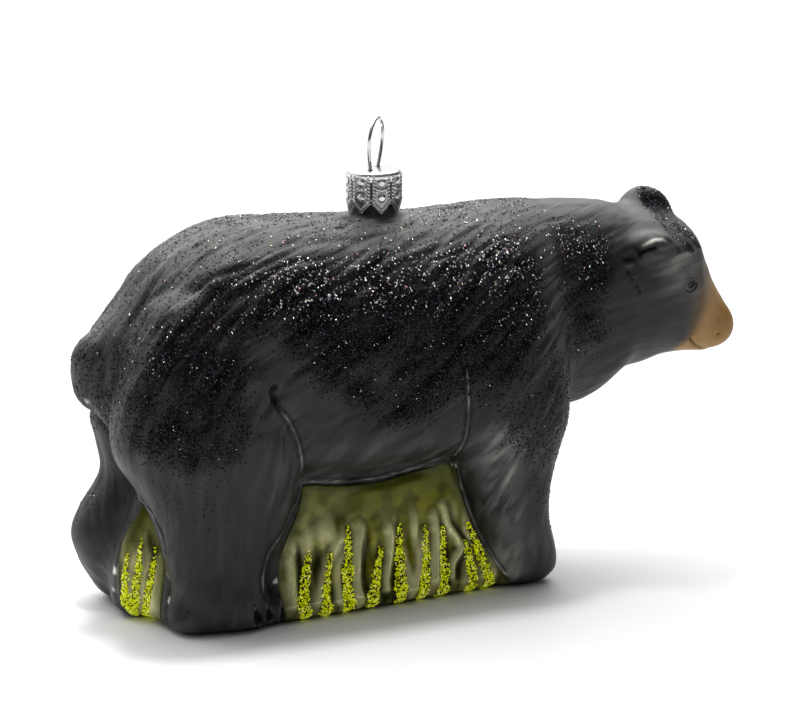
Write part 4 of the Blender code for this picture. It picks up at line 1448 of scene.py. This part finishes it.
def cap_top(wall):
    """The cap's domed top with its two wire holes, and the skirt that joins the lobes."""
    profile = ((2.0, 0.02), (4.2, 0.05), (4.75, 0.14), (5.12, 0.4), (5.26, 0.75), (5.2, 1.2), (5.12, 1.9))
    profile = [(radius, CAP_TOP - drop) for radius, drop in profile]
    radius, level = profile[0]
    bpy.ops.mesh.primitive_circle_add(
        vertices=72, radius=radius * MM, fill_type="NOTHING", location=AXIS + (0, 0, level * MM)
    )
    top = bpy.context.active_object
    bpy.ops.object.transform_apply(location=True, rotation=True, scale=True)
    bpy.ops.object.mode_set(mode="EDIT")
    bpy.ops.mesh.select_all(action="SELECT")
    for (r0, z0), (r1, z1) in zip(profile, profile[1:]):
        bpy.ops.mesh.extrude_edges_move(TRANSFORM_OT_translate={"value": (0, 0, (z1 - z0) * MM)})
        bpy.ops.transform.resize(value=(r1 / r0, r1 / r0, 1), center_override=(AXIS[0], AXIS[1], z1 * MM))
    bpy.ops.object.mode_set(mode="OBJECT")
    bm = bmesh.new()
    bm.from_mesh(top.data)
    rim = [edge for edge in bm.edges if edge.is_boundary and edge.verts[0].co.z > (CAP_TOP - 0.1) * MM]
    inner = bmesh.ops.contextual_create(bm, geom=rim)["faces"]
    bmesh.ops.poke(bm, faces=inner)
    bm.to_mesh(top.data)
    bm.free()
    edited(top, bpy.ops.mesh.normals_make_consistent, inside=False)
    walled(top, wall)
    for side in (-1, 1):
        leg = side * WIRE_LEG
        centre = AXIS + np.array((leg * math.cos(WIRE_TURN), leg * math.sin(WIRE_TURN), CAP_TOP)) * MM
        bpy.ops.mesh.primitive_cylinder_add(vertices=24, radius=0.62 * MM, depth=3 * MM, location=centre)
        punch = bpy.context.active_object
        hole = top.modifiers.new("hole", "BOOLEAN")
        hole.operation = "DIFFERENCE"
        hole.solver = "EXACT"
        hole.object = punch
        only(top)
        bpy.ops.object.modifier_apply(modifier=hole.name)
        bpy.data.objects.remove(punch)
    bpy.ops.object.shade_smooth_by_angle(angle=math.radians(40))
    return top


def wire_path():
    """The wire's centre line in millimetres, close enough together to look round."""
    half = [(WIRE_LEG, WIRE_FOOT + 0.1 + (CAP_TOP - 0.5 - WIRE_FOOT) * i / 8) for i in range(9)]
    for number in range(1, 14):
        turn = math.pi / 2 * number / 14
        out = (LOOP_RADIUS - WIRE_LEG) * math.sin(turn)
        half.append((WIRE_LEG + out, CAP_TOP + LOOP_HEIGHT * number / 14))
    for number in range(26):
        turn = math.pi / 2 * number / 26
        half.append((LOOP_RADIUS * math.cos(turn), CAP_TOP + LOOP_HEIGHT + LOOP_RADIUS * math.sin(turn)))
    flat = [*half, (0.0, CAP_TOP + LOOP_HEIGHT + LOOP_RADIUS), *((-x, z) for x, z in reversed(half))]
    along = Vector((math.cos(WIRE_TURN), math.sin(WIRE_TURN), 0.0))
    leaning = Vector((along.y, -along.x, 0.0)) * math.tan(WIRE_LEAN)
    return [along * x + leaning * max(z - CAP_TOP, 0.0) + Vector((0.0, 0.0, z)) for x, z in flat]


# Operators, in the order that they're run


class OBJECT_OT_ornament_skin(bpy.types.Operator):
    """Build the bear's lacquered glass skin"""

    bl_idname = "object.ornament_skin"
    bl_label = "Glass Skin"

    def execute(self, context):
        settings = context.scene.ornament_skin
        skin = blown_skin(settings.voxel)
        surface = surface_of(skin.data)
        grass = grass_panels(surface, settings)
        skin_details(skin, surface, settings)
        dress(skin, lacquer_material(settings))
        dress(grass, grass_material(settings))
        for piece in (skin, grass):
            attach(piece, "glass")
        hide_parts(*BEAR_NODES)
        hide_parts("grass")
        return {"FINISHED"}


class OBJECT_OT_ornament_glitter(bpy.types.Operator):
    """Scatter black glitter over the fur"""

    bl_idname = "object.ornament_glitter"
    bl_label = "Black Glitter"

    def execute(self, context):
        settings = context.scene.ornament_glitter
        mesh = bpy.data.objects["bear_skin"].data
        points, normals = read(mesh), outward(mesh)
        dense = kept(mesh, "glue")
        triangles = triangles_of(mesh)
        middles = points[triangles].mean(1)
        tones = (
            (0.56, (0.008, 0.008, 0.009)), (0.29, (0.085, 0.08, 0.1)), (0.065, (0.3, 0.29, 0.33)),
            (0.075, (0.98, 0.97, 0.98)), (0.006, (0.95, 0.5, 0.56)), (0.004, (0.9, 0.82, 0.5)),
        )
        material = glitter_material("black_glitter", tones, 0.16, 1.0)
        wanted = areas(points, triangles) * dense[triangles].mean(1)
        for name, side, front, seed in GLITTER_PIECES:
            chance = np.random.default_rng(seed)
            mine = (middles[:, 1] * side > 0) & (middles[:, 0] * front > 0)
            count = int(wanted[mine].sum() * settings.flakes)
            if count > MOST_FLAKES:
                raise RuntimeError(f"{name} would have {count} flakes")
            roots, ways = scattered(points, normals, triangles[mine], dense, count, chance)
            # Pale flakes are put mostly on upward faces: a painted sparkle where the light from above would
            # glint
            x = roots[:, 0]
            painted_sparkle = step(ways[:, 2], 0.12, 0.5) * (1 - 0.8 * step(-x, 28, 40))
            painted_sparkle *= (1 - 0.75 * step(x, 40, 48)) * (1 - 0.6 * step(ways[:, 2], 0.72, 0.95))
            shares = chance.random(count) ** (1 - 0.5 * painted_sparkle)
            shares[chance.random(count) > 0.03 + 0.97 * painted_sparkle] *= BLACK_SHARE
            flakes = flakes_mesh(name, roots, ways, settings.flake / MM, 0.3, 0.28, chance, shares)
            dress(flakes, material)
            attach(flakes, "glass")
        return {"FINISHED"}


class OBJECT_OT_ornament_lime(bpy.types.Operator):
    """Lay lime glitter along the blades of grass"""

    bl_idname = "object.ornament_lime"
    bl_label = "Lime Glitter"

    def execute(self, context):
        settings = context.scene.ornament_glitter
        mesh = bpy.data.objects["grass_panels"].data
        points, normals = read(mesh), outward(mesh)
        triangles = triangles_of(mesh)
        chance = np.random.default_rng(11)
        scatter = []
        for side, lines in ((-1, BLADES), (1, BLADES), (0, WEDGE_BLADES)):
            place = near_places(points, side)
            inward = sheet_frame(side)[1]
            mine = (normals @ inward < -0.05) & (points[:, 1] * side > 6 if side else points[:, 0] < -42)
            for line in lines:
                line = smooth(line)
                away, along = flat_distance(place, line)
                wide = (1.2 if side else 0.95) - 0.35 * along - 0.45 * along**2
                wide = wide * (1 + 0.1 * np.sin(along * 17 + line[0][0]))
                dense = mine * step(wide - away, -0.1, 0.15) * step(1 - along, -0.01, 0.04)
                dense *= 1 - 0.35 * step(along, 0.65, 1)
                length = sum(math.dist(a, b) for a, b in zip(line, line[1:]))
                here = triangles[dense[triangles].max(1) > 0]
                if not len(here):
                    raise RuntimeError("a blade of grass has no panel under it")
                count = int(length * settings.lime_flakes)
                scatter.append(scattered(points, normals, here, dense, count, chance))
        tones = (
            (0.5, (0.85, 0.93, 0.003)), (0.18, (0.5, 0.58, 0.003)), (0.23, (0.006, 0.009, 0.001)),
            (0.09, (0.98, 1.0, 0.3)),
        )
        roots, ways = (np.concatenate(rows) for rows in zip(*scatter))
        flakes = flakes_mesh("glitter_lime", roots, ways, settings.lime_flake / MM, 0.35, 0.3, chance)
        # The lime flakes glow a little: painted light, to make them look brighter
        dress(flakes, glitter_material("lime_glitter", tones, 0.3, 0.15, 0.28, 0.15))
        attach(flakes, "glass")
        return {"FINISHED"}


class OBJECT_OT_ornament_cap(bpy.types.Operator):
    """Press the crown cap"""

    bl_idname = "object.ornament_cap"
    bl_label = "Crown Cap"

    def execute(self, context):
        settings = context.scene.ornament_cap
        only(bpy.data.objects["bear_skin"])
        first = cap_lobe(settings.relief, settings.wall)
        pieces = [cap_top(settings.wall)]
        for number in range(LOBES):
            turn = FIRST_SLIT + 2 * math.pi * (number + 0.5) / LOBES
            lobe = added("cap_lobe", first.data.copy())
            about = Matrix.Translation(AXIS) @ Matrix.Rotation(turn, 4, "Z") @ Matrix.Translation(-AXIS)
            lobe.data.transform(about)
            pieces.append(lobe)
        bpy.data.objects.remove(first)
        cap = united(pieces, "crown_cap")
        dress(cap, metal_material("silvered_tin_pressed", (0.82, 0.82, 0.81), 0.2, 900.0, 0.32))
        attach(cap, "cap")
        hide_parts("cap_crown")
        return {"FINISHED"}


class OBJECT_OT_ornament_wire(bpy.types.Operator):
    """Bend the hanger wire"""

    bl_idname = "object.ornament_wire"
    bl_label = "Hanger Wire"

    def execute(self, context):
        settings = context.scene.ornament_cap
        path = wire_path()
        curve = bpy.data.curves.new("hanger", "CURVE")
        curve.dimensions = "3D"
        curve.bevel_depth = settings.wire / 2
        curve.bevel_resolution = 6
        curve.use_fill_caps = True
        spline = curve.splines.new("POLY")
        spline.points.add(len(path) - 1)
        for point, place in zip(spline.points, path):
            point.co = (*(Vector(AXIS) + place * MM), 1.0)
        only(added("hanger", curve))
        bpy.ops.object.convert(target="MESH")
        bpy.ops.object.shade_smooth_by_angle(angle=math.radians(50))
        wire = bpy.context.active_object
        dress(wire, metal_material("bright_wire", (0.72, 0.71, 0.7), 0.16, 500.0, 0))
        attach(wire, "cap")
        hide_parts("hanger_wire")
        return {"FINISHED"}


class OBJECT_OT_ornament_studio(bpy.types.Operator):
    """Set the pale floor, the soft light and the camera"""

    bl_idname = "object.ornament_studio"
    bl_label = "Studio"

    def execute(self, context):
        settings = context.scene.ornament_studio
        bpy.ops.object.select_all(action="DESELECT")
        bpy.ops.mesh.primitive_plane_add(size=settings.floor, location=(0, 0, 0))
        floor = context.active_object
        floor.name = "floor"
        paint = Paint("white_floor")
        pale = paint.mix(paint.uneven(6.0)["Cloud"], (0.86, 0.86, 0.87), (0.88, 0.88, 0.885))
        dress(floor, paint.finished({"Base Color": pale, "Roughness": 0.6, "Specular IOR Level": 0.2}))
        studio_sky(context)
        wide = bpy.data.lights.new("wide", "SUN")
        wide.energy = settings.wide
        wide.angle = math.radians(80)
        spot = bpy.data.lights.new("spot", "SPOT")
        spot.energy = settings.spot
        spot.spot_size = math.radians(18)
        spot.spot_blend = 0.5
        spot.shadow_soft_size = 0.05
        over = Vector(AXIS) + Vector((-20, 75, 620)) * MM
        onto = Vector(AXIS) + Vector((-34, 0, 20)) * MM
        for lamp, place, aim in ((wide, (0, 0, 1), Vector((-0.1, -0.6, -1.0))), (spot, over, onto - over)):
            obj = added(lamp.name, lamp)
            obj.location = place
            obj.rotation_euler = aim.to_track_quat("-Z", "Y").to_euler()
        place_camera(context, settings.distance)
        context.scene.view_settings.view_transform = "Standard"
        context.scene.view_settings.look = "None"
        return {"FINISHED"}


def studio_sky(context):
    """Soft light from above, dimmer in front, and plain white behind the object."""
    world = bpy.data.worlds.new("studio")
    context.scene.world = world
    world.use_nodes = True
    nodes = Nodes(world.node_tree)
    split = nodes.node("ShaderNodeSeparateXYZ")
    nodes.give(split.inputs[0], nodes.node("ShaderNodeTexCoord").outputs["Generated"])
    x, y, z = split.outputs
    up = nodes.ranged(z, 0.25, 0.95, 0.0, 0.3, "SMOOTHSTEP")
    behind = nodes.reckon("ADD", nodes.times(x, -0.25), nodes.times(y, 0.9))
    back = nodes.ranged(behind, -0.1, 0.8, 0.04, 0.9, "SMOOTHSTEP")
    strength = nodes.node("ShaderNodeMix")
    nodes.give(strength.inputs[0], nodes.node("ShaderNodeLightPath").outputs["Is Camera Ray"])
    nodes.give(strength.inputs[2], nodes.reckon("ADD", up, back))
    strength.inputs[3].default_value = 1.0
    background = world.node_tree.nodes["Background"]
    nodes.give(background.inputs["Color"], (1.0, 1.0, 1.0))
    nodes.give(background.inputs["Strength"], strength.outputs[0])


def place_camera(context, distance):
    """A camera at the right height and side, framing the ornament."""
    lens = bpy.data.cameras.new("camera")
    camera = added("camera", lens)
    context.scene.camera = camera
    turn, up = math.radians(-24.0), math.radians(10.0)
    back = Vector((math.sin(turn) * math.cos(up), -math.cos(turn) * math.cos(up), math.sin(up)))
    aim = Vector(AXIS) + Vector((0, 0, 74)) * MM
    level = (-back).to_track_quat("-Z", "Y").to_matrix()
    # The aim stands left of the view's middle and above it, so the camera turns by as much
    aside, above = (math.atan(offset * MM / distance) for offset in (AIM_ASIDE, AIM_ABOVE))
    turned = Matrix.Rotation(-aside, 3, "Y") @ Matrix.Rotation(-above, 3, "X")
    camera.location = aim + back * distance
    camera.rotation_euler = (level @ turned).to_euler()
    lens.sensor_width = 36.0
    lens.lens = 36.0 * distance / (VIEW_WIDTH * MM)
    lens.clip_start, lens.clip_end = 0.01, 50.0


class VIEW3D_PT_ornament(bpy.types.Panel):
    """Sizes, colours and steps of the ornament"""

    bl_idname = "VIEW3D_PT_ornament"
    bl_label = "Glass Bear Ornament"
    bl_space_type = "VIEW_3D"
    bl_region_type = "UI"
    bl_category = "Ornament"

    def draw(self, context):
        layout = self.layout
        for title, group in zip(("Skin", "Glitter", "Cap", "Studio"), SETTINGS):
            box = layout.box()
            box.label(text=title)
            held = getattr(context.scene, group)
            for name in held.bl_rna.properties.keys():
                if name not in ("rna_type", "name"):
                    box.prop(held, name)
        for operator in OPERATORS:
            layout.operator(operator.bl_idname)


SETTINGS = {
    "ornament_skin": OrnamentSkin,
    "ornament_glitter": OrnamentGlitter,
    "ornament_cap": OrnamentCap,
    "ornament_studio": OrnamentStudio,
}
OPERATORS = (
    OBJECT_OT_ornament_skin,
    OBJECT_OT_ornament_glitter,
    OBJECT_OT_ornament_lime,
    OBJECT_OT_ornament_cap,
    OBJECT_OT_ornament_wire,
    OBJECT_OT_ornament_studio,
)


def register():
    for group in (*SETTINGS.values(), *OPERATORS, VIEW3D_PT_ornament):
        bpy.utils.register_class(group)
    for name, group in SETTINGS.items():
        setattr(bpy.types.Scene, name, bpy.props.PointerProperty(type=group))


def unregister():
    for name in SETTINGS:
        delattr(bpy.types.Scene, name)
    for group in reversed((*SETTINGS.values(), *OPERATORS, VIEW3D_PT_ornament)):
        bpy.utils.unregister_class(group)


def main():
    register()
    for operator in OPERATORS:
        area, name = operator.bl_idname.split(".")
        getattr(getattr(bpy.ops, area), name)()


if __name__ == "__main__":
    main()
